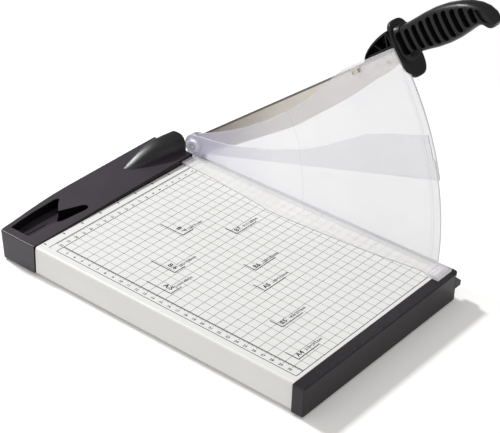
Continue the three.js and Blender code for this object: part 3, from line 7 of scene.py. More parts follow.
from collections import namedtuple
from functools import partial
import json
import math

import bmesh
import bpy
import numpy as np
from mathutils import Matrix, Vector


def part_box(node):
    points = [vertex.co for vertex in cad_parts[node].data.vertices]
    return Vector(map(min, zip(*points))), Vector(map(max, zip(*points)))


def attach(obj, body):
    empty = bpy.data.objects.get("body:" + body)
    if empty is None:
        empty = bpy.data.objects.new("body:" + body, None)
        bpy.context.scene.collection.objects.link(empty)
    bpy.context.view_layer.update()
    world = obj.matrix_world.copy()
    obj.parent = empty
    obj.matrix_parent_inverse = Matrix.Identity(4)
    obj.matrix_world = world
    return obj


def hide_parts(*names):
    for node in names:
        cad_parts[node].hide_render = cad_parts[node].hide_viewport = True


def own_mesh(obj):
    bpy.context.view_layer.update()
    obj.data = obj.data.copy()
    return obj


bl_info = {
    "name": "Guillotine Paper Cutter",
    "version": (1, 0, 0),
    "blender": (4, 5, 0),
    "location": "3D View > Sidebar > Cutter",
    "description": "Finishes, print and stage of a desk guillotine paper cutter",
    "category": "Object",
}

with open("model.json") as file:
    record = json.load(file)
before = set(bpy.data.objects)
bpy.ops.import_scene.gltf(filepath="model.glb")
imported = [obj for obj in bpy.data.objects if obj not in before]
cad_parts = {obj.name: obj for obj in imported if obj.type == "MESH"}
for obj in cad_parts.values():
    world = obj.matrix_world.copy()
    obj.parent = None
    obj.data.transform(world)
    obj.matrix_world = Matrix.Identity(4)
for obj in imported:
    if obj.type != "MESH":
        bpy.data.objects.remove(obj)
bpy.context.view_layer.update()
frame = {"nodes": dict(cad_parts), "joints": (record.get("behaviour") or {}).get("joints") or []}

MM = 0.001

# Places in metres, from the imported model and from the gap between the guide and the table's end
TABLE_LOW, TABLE_HIGH = (Vector(corner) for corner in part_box("table_top"))
STRIP_HIGH = Vector(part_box("counter_blade")[1])
COVER_LOW = Vector(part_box("pivot_end_cover")[0])
PIVOT = next(Vector(joint["pos_m"]) for joint in frame["joints"] if joint["name"] == "blade_swing")
TABLE_END_GAP = 0.3 * MM
GUIDE_X = TABLE_LOW.x - TABLE_END_GAP
CUT_Y = STRIP_HIGH.y
TOP_Z = TABLE_HIGH.z

# Blade at rest: its rise above the table, its reach, its back's height above the line from the pivot and how far
# the back falls towards the handle. The painted shade along the back fades in between two depths below the back,
# and the painted shade round the hub fades out between two distances.
BLADE_ANGLE = math.radians(37.75)
BLADE_REACH = 299.2
BACK_AT_HUB = 7.6
BACK_FALL = 2.0
BACK_PAINTED_SHADE_BAND = (2.4, 1.68)
BACK_PAINTED_SHADE = 0.22
HUB_PAINTED_SHADE_REACH = (20, 120)
HUB_PAINTED_SHADE_SHARE = 0.6
HUB_PAINTED_SHADE = 0.3

# Pivot-end cover: heights of its sloping top, where the slope ends, and the heights above the slope between
# which painted shade darkens the hump
COVER_TOP_NEAR = 0.9
COVER_TOP_FAR = 6.8
COVER_END_Y = -10
HUMP_RISE = (0.8, 5)
HUMP_PAINTED_SHADE = 0.2

# Tray and pocket in that cover, which take painted shade with the guide wall: X from the guide, Y from the
# cover's near end, Z of the pocket's floor
RECESS_X = (-45.6, -8.6)
RECESS_Y = (10, 86.5)
POCKET_LEFT = -27.5
POCKET_FLOOR = -6.5
GUIDE_WALL_X = -1

# Handle-end cover: the dark line just under its top edge, as depths below the top
DARK_LINE_LOW = 1.6
DARK_LINE_HIGH = 0.7
DARK_LINE_SOFTNESS = 0.2
DARK_LINE_SHADE = 0.1

# Guards: distances from the pivot for the haze, the tint and the moulded lines with their strengths
HAZE_REACH = (8, 50)
HAZE_ALPHA = 0.55
TINT_REACH = (8, 110)
TINT_SHARES = (0.80, 0.78, 0.93)
MOULD_LINES = ((144.5, 0.28), (297.8, 0.2), (300.6, 0.36))
MOULD_LINE_WIDTH = 0.9
MOULD_LINE_SHADE = 0.45

# Bolt head: each ring's inner and outer radius where its colour fades out, outermost first. The dark ring is
# painted shade in the groove.
BOLT_RINGS = ((3.2, 3.5, (0.28, 0.26, 0.36)), (2.1, 2.4, (0.88, 0.87, 0.95)))

# Screw heads: where the rim's painted highlight fades in, as shares of the head's radius, and the soft edge of
# the dot of painted shade in the recess
SCREW_RIM = (0.72, 0.8)
SCREW_DOT_EDGE = 0.8

# Clamp: length of the box at its free end
CLAMP_END_BOX = 15.5

# Faces are told apart by a part of their normal
GUIDE_NORMAL = 0.8
WALL_NORMAL = 0.6
LEVEL_NORMAL = 0.7
SHEET_NORMAL = 0.7
BACK_NORMAL = 0.9

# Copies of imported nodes: points and faces that merge, and the segments of a rounded edge
MERGE_DISTANCE = 0.002 * MM
FLAT_ANGLE = math.radians(0.4)
ROUND_SEGMENTS = 2

# Grid and rulers
GRID_PITCH = 10
GRID_X = (20, 310)
GRID_Y = (-220, -10)
RULER_NEAR_Y = -230
SIDE_RULER_X = 10
NEAR_DIGITS_Y = -226.2
SIDE_DIGITS_X = 16.5
TICK_SHORT = 1.5
TICK_MIDDLE = 2.1
TICK_LONG = 2.8
INCH = 25.4
INCH_MARKS = 9
INCH_MARK_X = (1.6, 4.6)

# Widths as shares of the thin or the thick line, and heights as shares of the ink's, so that crossing prints
# never share a face
ROW_SHARE = 0.75
TICK_SHARE = 1.25
INCH_MARK_SHARE = 2
MARK_SHARE = 1.4
RULE_LIFT = 1.2
MARK_LIFT = 1.4

# Paper-size marks: name, short side and long side, then the angles' legs and where the words start
PAPER_SIZES = (("A4", 210, 297), ("B5", 182, 257), ("A5", 148, 210), ("B6", 128, 182), ("B7", 91, 128))
TURNED_SIZES = ("A5", "B6", "B7")
MARK_SHORT_LEG = 14.8
MARK_LONG_LEG = 30
LABEL_SIDE = 4.3
LABEL_RISE = 3.2
SIZE_SIDE = 3.8
SIZE_RISE = 14.6
SMALL_LABEL = 0.62
TURNED_LETTERS = (11.4, 5.4)
TURNED_LETTER_SHARE = 1.1
TURNED_RISE = 6.6
TURNED_SIZE_RISE = 10.6

# Lettering: weight as a share of its size, letter spacing, steps of a curve and the distance that merges points
BOLDNESS = 0.026
SPACING = 1.08
LETTER_STEPS = 3
LETTER_MERGE = 0.001 * MM

# Stage: the camera's place from the corner of guide and cutting edge in millimetres, its turns in degrees, and
# the other lengths in metres. The floor turns plain white between two distances from the origin, and the
# ceiling brightens between two heights along its axis.
CAMERA_OFFSET = (939.074, -1101.632, 833.845)
CAMERA_AZIMUTH = 38.2058
CAMERA_ELEVATION = 32.1156
CAMERA_ROLL = 2.1362
CAMERA_SENSOR = 36
CAMERA_CLIP_END = 50
FLOOR_HALF = 6.0
FLOOR_FADE = (0.30, 0.55)
CEILING_AXIS = (0.5, -0.78, 0.4)
CEILING_BAND = (-0.4, 0.3)
KEY_PLACE = (-2.0, 0.0, 2.0)


class CutterSizes(bpy.types.PropertyGroup):
    """Sizes of the print and of the rounded edges."""

    line_width: bpy.props.FloatProperty(
        name="Grid line", description="Width of a printed grid line", default=0.36 * MM,
        min=0, unit="LENGTH", precision=5)
    rule_width: bpy.props.FloatProperty(
        name="Ruler line", description="Width of a ruler's long line", default=0.7 * MM,
        min=0, unit="LENGTH", precision=5)
    ink_height: bpy.props.FloatProperty(
        name="Ink height", description="How far the print stands on the table", default=0.05 * MM,
        min=0, unit="LENGTH", precision=5)
    digit_height: bpy.props.FloatProperty(
        name="Digits", description="Height of the ruler's digits", default=4.0 * MM,
        min=0, unit="LENGTH", precision=5)
    label_height: bpy.props.FloatProperty(
        name="Labels", description="Height of the paper-size labels", default=6.9 * MM,
        min=0, unit="LENGTH", precision=5)
    table_round: bpy.props.FloatProperty(
        name="Table edge", description="Width of the table's rounded edges", default=0.3 * MM,
        min=0, unit="LENGTH", precision=5)
    cover_round: bpy.props.FloatProperty(
        name="Cover edge", description="Width of the end covers' rounded edges", default=0.5 * MM,
        min=0, unit="LENGTH", precision=5)
    latch_round: bpy.props.FloatProperty(
        name="Latch edge", description="Width of the latch's rounded edges", default=0.25 * MM,
        min=0, unit="LENGTH", precision=5)
    strip_round: bpy.props.FloatProperty(
        name="Counter blade edge", description="Width of the counter blade's rounded edges", default=0.12 * MM,
        min=0, unit="LENGTH", precision=5)
    handle_round: bpy.props.FloatProperty(
        name="Handle edge", description="Width of the handle's rounded edges", default=0.4 * MM,
        min=0, unit="LENGTH", precision=5)


class CutterColours(bpy.types.PropertyGroup):
    """Base colours of the finishes."""

    paint: bpy.props.FloatVectorProperty(
        name="Table paint", description="White powder paint", subtype="COLOR",
        default=(0.77, 0.77, 0.755))
    cover: bpy.props.FloatVectorProperty(
        name="End covers", description="Black moulded plastic of the covers and the latch", subtype="COLOR",
        default=(0.037, 0.0298, 0.039))
    grip: bpy.props.FloatVectorProperty(
        name="Handle", description="Deeper black plastic of the handle", subtype="COLOR",
        default=(0.0102, 0.0090, 0.0093))
    ink: bpy.props.FloatVectorProperty(
        name="Ink", description="Dark grey print", subtype="COLOR",
        default=(0.012, 0.012, 0.012))
    blade: bpy.props.FloatVectorProperty(
        name="Blade", description="Ground steel of the moving blade", subtype="COLOR",
        default=(0.82, 0.765, 0.70))
    strip: bpy.props.FloatVectorProperty(
        name="Counter blade", description="Ground steel of the fixed blade", subtype="COLOR",
        default=(0.70, 0.69, 0.71))
    zinc: bpy.props.FloatVectorProperty(
        name="Plated steel", description="Zinc-plated fasteners", subtype="COLOR",
        default=(0.50, 0.51, 0.54))
    bolt: bpy.props.FloatVectorProperty(
        name="Bolt head", description="Rim of the bolt under its cap", subtype="COLOR",
        default=(0.86, 0.85, 0.93))
    brass: bpy.props.FloatVectorProperty(
        name="Brass", description="Bush and thrust washer", subtype="COLOR",
        default=(0.60, 0.44, 0.18))
    rubber: bpy.props.FloatVectorProperty(
        name="Rubber", description="Feet", subtype="COLOR",
        default=(0.016, 0.016, 0.016))
    guard: bpy.props.FloatVectorProperty(
        name="Guards", description="Clear plastic of the two guards", subtype="COLOR",
        default=(0.89, 0.89, 0.94))
    clamp: bpy.props.FloatVectorProperty(
        name="Clamp", description="Clear plastic of the paper clamp", subtype="COLOR",
        default=(0.755, 0.745, 0.74))
    clamp_edge: bpy.props.FloatVectorProperty(
        name="Clamp edge", description="Upright faces of the paper clamp", subtype="COLOR",
        default=(0.62, 0.60, 0.69))
    # Painted highlight: the end box's upright faces near white, as if brightly lit
    clamp_end: bpy.props.FloatVectorProperty(
        name="Clamp end", description="Upright faces of the box at the clamp's end", subtype="COLOR",
        default=(0.96, 0.95, 1.0))
    hub: bpy.props.FloatVectorProperty(
        name="Hub cap", description="Clear plastic of the hub cap", subtype="COLOR",
        default=(0.9, 0.89, 0.97))


class CutterStage(bpy.types.PropertyGroup):
    """Lights, floor and camera."""

    key_power: bpy.props.FloatProperty(
        name="Key lamp", description="Power of the lamp at the upper left", default=69, min=0, unit="POWER")
    key_size: bpy.props.FloatProperty(
        name="Key size", description="Side of that lamp, which softens the shadow", default=0.3,
        min=0, unit="LENGTH")
    key_colour: bpy.props.FloatVectorProperty(
        name="Key colour", description="Colour of that lamp", subtype="COLOR", default=(0.97, 0.99, 1.0))
    ceiling_colour: bpy.props.FloatVectorProperty(
        name="Ceiling colour", description="Colour of the light from all round", subtype="COLOR",
        default=(1, 0.98, 0.962))
    ceiling_low: bpy.props.FloatProperty(
        name="Ceiling low", description="Strength of that light from low at the back", default=0.22, min=0)
    ceiling_high: bpy.props.FloatProperty(
        name="Ceiling high", description="Strength of that light from above the user", default=0.67, min=0)
    floor_colour: bpy.props.FloatVectorProperty(
        name="Floor", description="Colour of the floor near the cutter", subtype="COLOR",
        default=(0.95, 0.94, 0.93))
    floor_lift: bpy.props.FloatProperty(
        name="Floor lift", description="Brightness added to the floor where the camera sees it", default=0.12,
        min=0)
    lens: bpy.props.FloatProperty(
        name="Lens", description="Focal length of the camera", default=113.558, min=1, unit="CAMERA")


# Shader helpers

# The part of a noise's range in which nearly all its values lie
NOISE_BAND = (0.3, 0.7)

# Sockets of a colour Mix node, whose names repeat those of its other kinds
MIX_UNDER, MIX_OVER, MIX_RESULT = 6, 7, 2


def add_node(tree, kind, inputs=None, **settings):
    """A new shader node. Its inputs are given by name or number, each as a value or as a socket to link."""
    added = tree.nodes.new(f"ShaderNode{kind}")
    for key, value in settings.items():
        setattr(added, key, value)
    for key, value in (inputs or {}).items():
        if isinstance(value, bpy.types.NodeSocket):
            tree.links.new(value, added.inputs[key])
        else:
            added.inputs[key].default_value = value
    return added


def mapped(tree, inputs):
    """Object coordinates, scaled, turned about the origin and moved."""
    place = add_node(tree, "TexCoord").outputs["Object"]
    return add_node(tree, "Mapping", {"Vector": place, **inputs}).outputs["Vector"]


def object_noise(tree, scale, detail=3.0, stretch=(1, 1, 1), turn=0.0):
    """Noise on Object coordinates, stretched along the axes and turned about Y."""
    place = mapped(tree, {"Rotation": (0, turn, 0), "Scale": stretch})
    return add_node(tree, "TexNoise", {"Vector": place, "Scale": scale, "Detail": detail}).outputs["Fac"]


def distance_from_axis(tree, centre):
    """Distance from the line along Y through a point."""
    place = mapped(tree, {"Scale": (1, 0, 1), "Location": (-centre.x, 0, -centre.z)})
    return add_node(tree, "VectorMath", {0: place}, operation="LENGTH").outputs["Value"]


def turned_height(tree, turn):
    """Height after a turn about the origin, given as angles about X, Y and Z."""
    place = mapped(tree, {"Rotation": turn})
    return add_node(tree, "SeparateXYZ", {"Vector": place}).outputs["Z"]


def arithmetic(tree, operation, *values):
    """The result of a Math node on sockets and numbers."""
    return add_node(tree, "Math", dict(enumerate(values)), operation=operation).outputs[0]


def ranged(tree, value, low, high, at_low, at_high):
    """A value carried from the range low to high into at_low to at_high, and kept within it."""
    return add_node(tree, "MapRange", {
        "Value": value, "From Min": low, "From Max": high, "To Min": at_low, "To Max": at_high,
    }).outputs["Result"]


def square_to(angle):
    """The direction square to a line that rises from the cut by this angle in radians."""
    return Vector((-math.sin(angle), 0, math.cos(angle)))


def scaled(colour, factor):
    """A colour times a factor, at most white."""
    return tuple(min(1.0, channel * factor) for channel in colour)


def mottled(tree, shader, noise, colour, low, high):
    """Carries a noise into the base colour, from low to high times the colour."""
    ramp = add_node(tree, "ValToRGB", {"Fac": noise})
    for element, position, share in zip(ramp.color_ramp.elements, NOISE_BAND, (low, high)):
        element.position = position
        element.color = (*scaled(colour, share), 1)
    tree.links.new(ramp.outputs["Color"], shader.inputs["Base Color"])


def roughened(tree, shader, noise, low, high):
    """Carries a noise into the roughness, from low to high."""
    tree.links.new(ranged(tree, noise, *NOISE_BAND, low, high), shader.inputs["Roughness"])


def bumped(tree, shader, noise, height, strength):
    """Carries a noise into the surface normal, with a height in millimetres."""
    bump = add_node(tree, "Bump", {"Height": noise, "Distance": height * MM, "Strength": strength})
    tree.links.new(bump.outputs["Normal"], shader.inputs["Normal"])


def tinted(tree, shader, share, colour):
    """Mixes another colour over the base colour by a share."""
    under = shader.inputs["Base Color"].links[0].from_socket
    mix = add_node(
        tree, "Mix", {"Factor": share, MIX_UNDER: under, MIX_OVER: (*colour, 1)}, data_type="RGBA")
    tree.links.new(mix.outputs[MIX_RESULT], shader.inputs["Base Color"])


# Surfaces: each sets up a Principled shader for one kind of stuff


def plain_values(shader, colour, roughness, metallic=0.0):
    """Sets the values that the textures then vary."""
    shader.inputs["Base Color"].default_value = (*colour, 1)
    shader.inputs["Roughness"].default_value = roughness
    shader.inputs["Metallic"].default_value = metallic


def powder_paint(tree, shader, colour, roughness):
    """Paint with a fine grain."""
    plain_values(shader, colour, roughness)
    mottled(tree, shader, object_noise(tree, scale=9), colour, low=0.985, high=1.01)
    bumped(tree, shader, object_noise(tree, scale=900, detail=2), height=0.02, strength=0.35)


def moulded_plastic(tree, shader, colour, roughness, grain, specular=0.5):
    """Plastic with a fine grain, given by its height in millimetres."""
    plain_values(shader, colour, roughness)
    shader.inputs["Specular IOR Level"].default_value = specular
    mottled(tree, shader, object_noise(tree, scale=30, detail=4), colour, low=0.9, high=1.1)
    fine = object_noise(tree, scale=1500, detail=2)
    roughened(tree, shader, fine, low=roughness - 0.05, high=roughness + 0.06)
    bumped(tree, shader, fine, height=grain, strength=0.4)


def ground_steel(tree, shader, colour, roughness, metallic, turn=0.0):
    """Steel with grinding streaks along X after a turn about Y."""
    plain_values(shader, colour, roughness, metallic)
    streaks = object_noise(tree, scale=90, stretch=(3, 60, 60), turn=turn)
    roughened(tree, shader, streaks, low=roughness - 0.06, high=roughness + 0.08)
    clouds = object_noise(tree, scale=14, stretch=(1, 1, 2), turn=turn)
    mottled(tree, shader, clouds, colour, low=0.9, high=1.08)
    bumped(tree, shader, streaks, height=0.01, strength=0.15)


def plated_metal(tree, shader, colour, roughness, metallic=1.0):
    """Metal with a cloudy plating."""
    plain_values(shader, colour, roughness, metallic)
    mottled(tree, shader, object_noise(tree, scale=120, detail=4), colour, low=0.88, high=1.1)
    roughened(tree, shader, object_noise(tree, scale=400, detail=2), low=roughness - 0.06, high=roughness + 0.1)


def soft_rubber(tree, shader, colour, roughness):
    """Rubber with a coarse grain."""
    plain_values(shader, colour, roughness)
    mottled(tree, shader, object_noise(tree, scale=200), colour, low=0.8, high=1.3)
    bumped(tree, shader, object_noise(tree, scale=1800, detail=2), height=0.03, strength=0.5)


def clear_plastic(tree, shader, colour, alpha, roughness=0.1):
    """Clear moulded plastic: a thin tint by alpha, with clouds so faint that they only break the gloss."""
    plain_values(shader, colour, roughness)
    shader.inputs["Alpha"].default_value = alpha
    shader.inputs["IOR"].default_value = 1.49
    mottled(tree, shader, object_noise(tree, scale=16, detail=2), colour, low=0.97, high=1.03)
    roughened(tree, shader, object_noise(tree, scale=60), low=roughness * 0.7, high=roughness * 1.4)


def flat_ink(tree, shader, colour, roughness):
    """Ink that covers a little unevenly."""
    plain_values(shader, colour, roughness)
    mottled(tree, shader, object_noise(tree, scale=700, detail=2), colour, low=0.8, high=1.35)


# Marks: each shades a part of one finish, from the colour of that finish or from colours of its own. Those of
# the blade, the hump and the bolt are painted shade; those of the screws are painted highlight and painted
# shade.


def paint_blade_shade(tree, shader, colour):
    """Darkens the blade round the hub and in a band along its back, as painted shade."""
    near_hub, far_from_hub = HUB_PAINTED_SHADE_REACH
    shade = ranged(tree, distance_from_axis(tree, PIVOT), near_hub * MM, far_from_hub * MM, HUB_PAINTED_SHADE_SHARE, 0)
    tinted(tree, shader, shade, scaled(colour, HUB_PAINTED_SHADE))
    turn = BLADE_ANGLE - math.atan2(BACK_FALL, BLADE_REACH)
    back = (PIVOT + BACK_AT_HUB * MM * square_to(BLADE_ANGLE)).dot(square_to(turn))
    low, high = (back - depth * MM for depth in BACK_PAINTED_SHADE_BAND)
    band = ranged(tree, turned_height(tree, (0, turn, 0)), low, high, 0, 1)
    tinted(tree, shader, band, scaled(colour, BACK_PAINTED_SHADE))


def paint_hump_shade(tree, shader, colour):
    """Darkens the hump with painted shade by its height above the cover's sloping top."""
    rise = (COVER_TOP_FAR - COVER_TOP_NEAR) * MM
    far = CUT_Y + COVER_END_Y * MM
    slope = math.atan2(rise, far - COVER_LOW.y)
    level = (TOP_Z + COVER_TOP_FAR * MM) * math.cos(slope) - far * math.sin(slope)
    low, high = (level + height * MM for height in HUMP_RISE)
    shade = ranged(tree, turned_height(tree, (-slope, 0, 0)), low, high, 0, 1)
    tinted(tree, shader, shade, scaled(colour, HUMP_PAINTED_SHADE))


def mark_end_cover(tree, shader, colour):
    """Draws a dark line just under the top edge."""
    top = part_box("handle_end_cover")[1][2]
    height = turned_height(tree, (0, 0, 0))
    above = ranged(tree, height, top - (DARK_LINE_LOW + DARK_LINE_SOFTNESS) * MM, top - DARK_LINE_LOW * MM, 0, 1)
    below = ranged(tree, height, top - DARK_LINE_HIGH * MM, top - (DARK_LINE_HIGH - DARK_LINE_SOFTNESS) * MM, 1, 0)
    tinted(tree, shader, arithmetic(tree, "MULTIPLY", above, below), scaled(colour, DARK_LINE_SHADE))


def mark_guard(tree, shader, colour):
    """Makes a guard hazier and tinted round the pivot and draws the faint moulded lines about it."""
    distance = distance_from_axis(tree, PIVOT)
    low, high = (reach * MM for reach in HAZE_REACH)
    alpha = shader.inputs["Alpha"].default_value
    tree.links.new(ranged(tree, distance, low, high, HAZE_ALPHA, alpha), shader.inputs["Alpha"])
    low, high = (reach * MM for reach in TINT_REACH)
    tint = [channel * share for channel, share in zip(colour, TINT_SHARES)]
    tinted(tree, shader, ranged(tree, distance, low, high, 1, 0), tint)
    for radius, strength in MOULD_LINES:
        away = arithmetic(tree, "ABSOLUTE", arithmetic(tree, "SUBTRACT", distance, radius * MM))
        line = ranged(tree, away, 0, MOULD_LINE_WIDTH * MM, strength, 0)
        tinted(tree, shader, line, scaled(colour, MOULD_LINE_SHADE))


def mark_bolt(tree, shader, colour):
    """Draws the groove of the bolt's head as a dark ring of painted shade, and its light middle."""
    distance = distance_from_axis(tree, PIVOT)
    for inner, outer, ring in BOLT_RINGS:
        tinted(tree, shader, ranged(tree, distance, inner * MM, outer * MM, 1, 0), ring)


def mark_screw(tree, shader, colour, node, rim, dot, dot_radius):
    """Draws a painted highlight on the rim of a screw's head and painted shade in its recess, the recess by its
    radius in millimetres.
    """
    low, high = (Vector(corner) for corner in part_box(node))
    distance = distance_from_axis(tree, (low + high) / 2)
    radius = (high.x - low.x) / 2
    rim_start, rim_end = (radius * share for share in SCREW_RIM)
    tinted(tree, shader, ranged(tree, distance, rim_start, rim_end, 0, 1), rim)
    dot_start, dot_end = dot_radius * SCREW_DOT_EDGE * MM, dot_radius * MM
    tinted(tree, shader, ranged(tree, distance, dot_start, dot_end, 1, 0), dot)


# A finish takes a share of one of the scene's colours, a surface with its values, and marks if it has any
Finish = namedtuple("Finish", "colour share surface values marks", defaults=(None,))

PLASTIC_SHEEN = 0.36
PLASTIC_GRAIN = 0.015

FINISHES = {
    "powder_paint": Finish("paint", 1, powder_paint, dict(roughness=0.42)),
    "cover_plastic": Finish(
        "cover", 1, moulded_plastic, dict(roughness=PLASTIC_SHEEN, grain=PLASTIC_GRAIN), paint_hump_shade),
    # Painted shade in the pivot cover: near black in the pocket and on the walls, dark on the tray's floor
    "recess_plastic": Finish(
        "cover", 0.15, moulded_plastic, dict(roughness=0.3, grain=0.01, specular=0.25)),
    "tray_plastic": Finish(
        "cover", 0.65, moulded_plastic, dict(roughness=PLASTIC_SHEEN, grain=PLASTIC_GRAIN, specular=0.4)),
    # Painted shade: the handle-end cover in a darker copy of the cover plastic
    "end_cover_plastic": Finish(
        "cover", 0.5, moulded_plastic, dict(roughness=PLASTIC_SHEEN, grain=PLASTIC_GRAIN, specular=0.35),
        mark_end_cover),
    "latch_plastic": Finish(
        "cover", 0.3, moulded_plastic, dict(roughness=0.42, grain=0.02, specular=0.3)),
    "grip_plastic": Finish(
        "grip", 1, moulded_plastic, dict(roughness=PLASTIC_SHEEN, grain=PLASTIC_GRAIN, specular=0.3)),
    "blade_steel": Finish(
        "blade", 1, ground_steel, dict(roughness=0.34, metallic=0.5, turn=BLADE_ANGLE), paint_blade_shade),
    # Painted shade: the blade's back in a dark copy of the blade steel
    "blade_back_steel": Finish(
        "blade", 0.3, ground_steel, dict(roughness=0.5, metallic=1.0, turn=BLADE_ANGLE)),
    "strip_steel": Finish("strip", 1, ground_steel, dict(roughness=0.4, metallic=0.3)),
    "catch_steel": Finish("blade", 0.9, ground_steel, dict(roughness=0.4, metallic=0.5)),
    "zinc_plate": Finish("zinc", 1, plated_metal, dict(roughness=0.34)),
    "spring_steel": Finish("zinc", 0.7, plated_metal, dict(roughness=0.3)),
    "plain_brass": Finish("brass", 1, plated_metal, dict(roughness=0.3)),
    "bolt_plate": Finish("bolt", 1, plated_metal, dict(roughness=0.4, metallic=0.2), mark_bolt),
    # Screws: light rims are painted highlight, dark dots painted shade in the recesses
    "screw_ringed": Finish(
        "blade", 1.1, plated_metal, dict(roughness=0.34),
        partial(mark_screw, node="handle_screw_1", rim=(0.92, 0.92, 0.95), dot=(0.5, 0.47, 0.45), dot_radius=1)),
    "screw_dotted": Finish(
        "blade", 1, plated_metal, dict(roughness=0.34),
        partial(mark_screw, node="handle_screw_2", rim=(0.902, 0.8415, 0.77), dot=(0.09, 0.08, 0.07),
                dot_radius=1.5)),
    "foot_rubber": Finish("rubber", 1, soft_rubber, dict(roughness=0.85)),
    "guard_face": Finish("guard", 1, clear_plastic, dict(alpha=0.39), mark_guard),
    "guard_edge": Finish("guard", 0.7, clear_plastic, dict(alpha=0.9, roughness=0.15)),
    "clamp_face": Finish("clamp", 1, clear_plastic, dict(alpha=0.35)),
    "clamp_edge": Finish("clamp_edge", 1, clear_plastic, dict(alpha=0.7, roughness=0.15)),
    # Painted highlight on the upright faces of the clamp's end box
    "clamp_end": Finish("clamp_end", 1, clear_plastic, dict(alpha=0.9, roughness=0.15)),
    "hub_face": Finish("hub", 1, clear_plastic, dict(alpha=0.2)),
    "hub_edge": Finish("hub", 1, clear_plastic, dict(alpha=0.5, roughness=0.15)),
    "printed_ink": Finish("ink", 1, flat_ink, dict(roughness=0.6)),
}

MATERIALS = {}


def finish(name):
    """The material of a finish, made when it is first asked for."""
    if name not in MATERIALS:
        recipe = FINISHES[name]
        colour = scaled(getattr(bpy.context.scene.cutter_colours, recipe.colour), recipe.share)
        material = bpy.data.materials.new(name)
        material.use_nodes = True
        tree = material.node_tree
        shader = tree.nodes["Principled BSDF"]
        recipe.surface(tree, shader, colour, **recipe.values)
        if recipe.marks:
            recipe.marks(tree, shader, colour)
        MATERIALS[name] = material
    return MATERIALS[name]


# Meshes and pieces


def new_object(name, mesh, finishes, body):
    """A piece at the origin that rides on a body and takes its finishes."""
    for finish_name in finishes:
        mesh.materials.append(finish(finish_name))
    piece = bpy.data.objects.new(name, mesh)
    bpy.context.scene.collection.objects.link(piece)
    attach(piece, body)
    return piece


def mesh_of(name, points, faces):
    """A mesh from arrays of points and of faces."""
    mesh = bpy.data.meshes.new(name)
    mesh.from_pydata(np.asarray(points).tolist(), [], np.asarray(faces).tolist())
    mesh.validate()
    return mesh


def dressed(node, name, finishes, body, width=0.0, angle=32, chooser=None):
    """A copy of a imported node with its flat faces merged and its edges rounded, which stands for it.

    Edges sharper than the angle in degrees get a round of the given width, and large flat faces keep their own
    shading. Where the piece has several finishes, the chooser gives for each face the number of its own.
    """
    source = frame["nodes"][node]
    work = bmesh.new()
    work.from_mesh(source.data)
    work.transform(source.matrix_world)
    bmesh.ops.remove_doubles(work, verts=work.verts, dist=MERGE_DISTANCE)
    bmesh.ops.dissolve_limit(work, angle_limit=FLAT_ANGLE, verts=work.verts, edges=work.edges)
    limit = math.radians(angle)
    for face in work.faces:
        face.smooth = True
        if chooser:
            face.material_index = int(chooser(face))
    for edge in work.edges:
        edge.smooth = edge.calc_face_angle(0) < limit
    mesh = bpy.data.meshes.new(name)
    work.to_mesh(mesh)
    work.free()
    piece = new_object(name, mesh, finishes, body)
    if width:
        rounding = piece.modifiers.new("Rounding", "BEVEL")
        rounding.width = width
        rounding.segments = ROUND_SEGMENTS
        rounding.limit_method = "ANGLE"
        rounding.angle_limit = limit
        rounding.use_clamp_overlap = True
        rounding.miter_outer = "MITER_ARC"
    shading = piece.modifiers.new("Shading", "WEIGHTED_NORMAL")
    shading.keep_sharp = True
    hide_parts(node)
    return piece


def coat(finish_name, *nodes):
    """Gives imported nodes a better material."""
    for node in nodes:
        for slot in frame["nodes"][node].material_slots:
            slot.material = finish(finish_name)


def painted_shade_part(face):
    """Painted shade: 1 on the guide wall, on the walls of the tray and pocket and on the pocket's floor, 2 on
    the tray's.
    """
    spot = face.calc_center_median()
    x = (spot.x - GUIDE_X) / MM
    y = (spot.y - COVER_LOW.y) / MM
    z = (spot.z - TOP_Z) / MM
    if face.normal.x > GUIDE_NORMAL and x > GUIDE_WALL_X:
        return 1
    if not (RECESS_X[0] < x < RECESS_X[1] and RECESS_Y[0] < y < RECESS_Y[1] and z < 0):
        return 0
    is_wall = abs(face.normal.z) < WALL_NORMAL
    return 1 if is_wall or (x > POCKET_LEFT and z < POCKET_FLOOR) else 2


def clamp_part(face):
    """2 on the upright faces of the end box, which take a painted highlight, 1 on other upright faces, 0 on
    level ones.
    """
    if abs(face.normal.z) > LEVEL_NORMAL:
        return 0
    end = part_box("paper_clamp")[1][0] - CLAMP_END_BOX * MM
    return 2 if face.calc_center_median().x > end else 1


def is_rim(face):
    """Whether a face is on the rim of a sheet that stands across Y."""
    return abs(face.normal.y) < SHEET_NORMAL


def is_back(face):
    """Whether a face is on the moving blade's back."""
    return face.normal.dot(square_to(BLADE_ANGLE)) > BACK_NORMAL


# Print

BOX_CORNERS = np.array([
    [0, 0, 0], [1, 0, 0], [1, 1, 0], [0, 1, 0], [0, 0, 1], [1, 0, 1], [1, 1, 1], [0, 1, 1]])
BOX_FACES = np.array([
    [0, 3, 2, 1], [4, 5, 6, 7], [0, 1, 5, 4], [1, 2, 6, 5], [2, 3, 7, 6], [3, 0, 4, 7]])


def bars_along(places, low, high, width, along_x):
    """Rows (x0, x1, y0, y1) of bars of one width at these places, each running from low to high."""
    places = np.asarray(places, float)
    run = np.column_stack([np.broadcast_to(end, places.shape) for end in (low, high)])
    across = np.column_stack([places - width / 2, places + width / 2])
    return np.hstack([run, across] if along_x else [across, run])


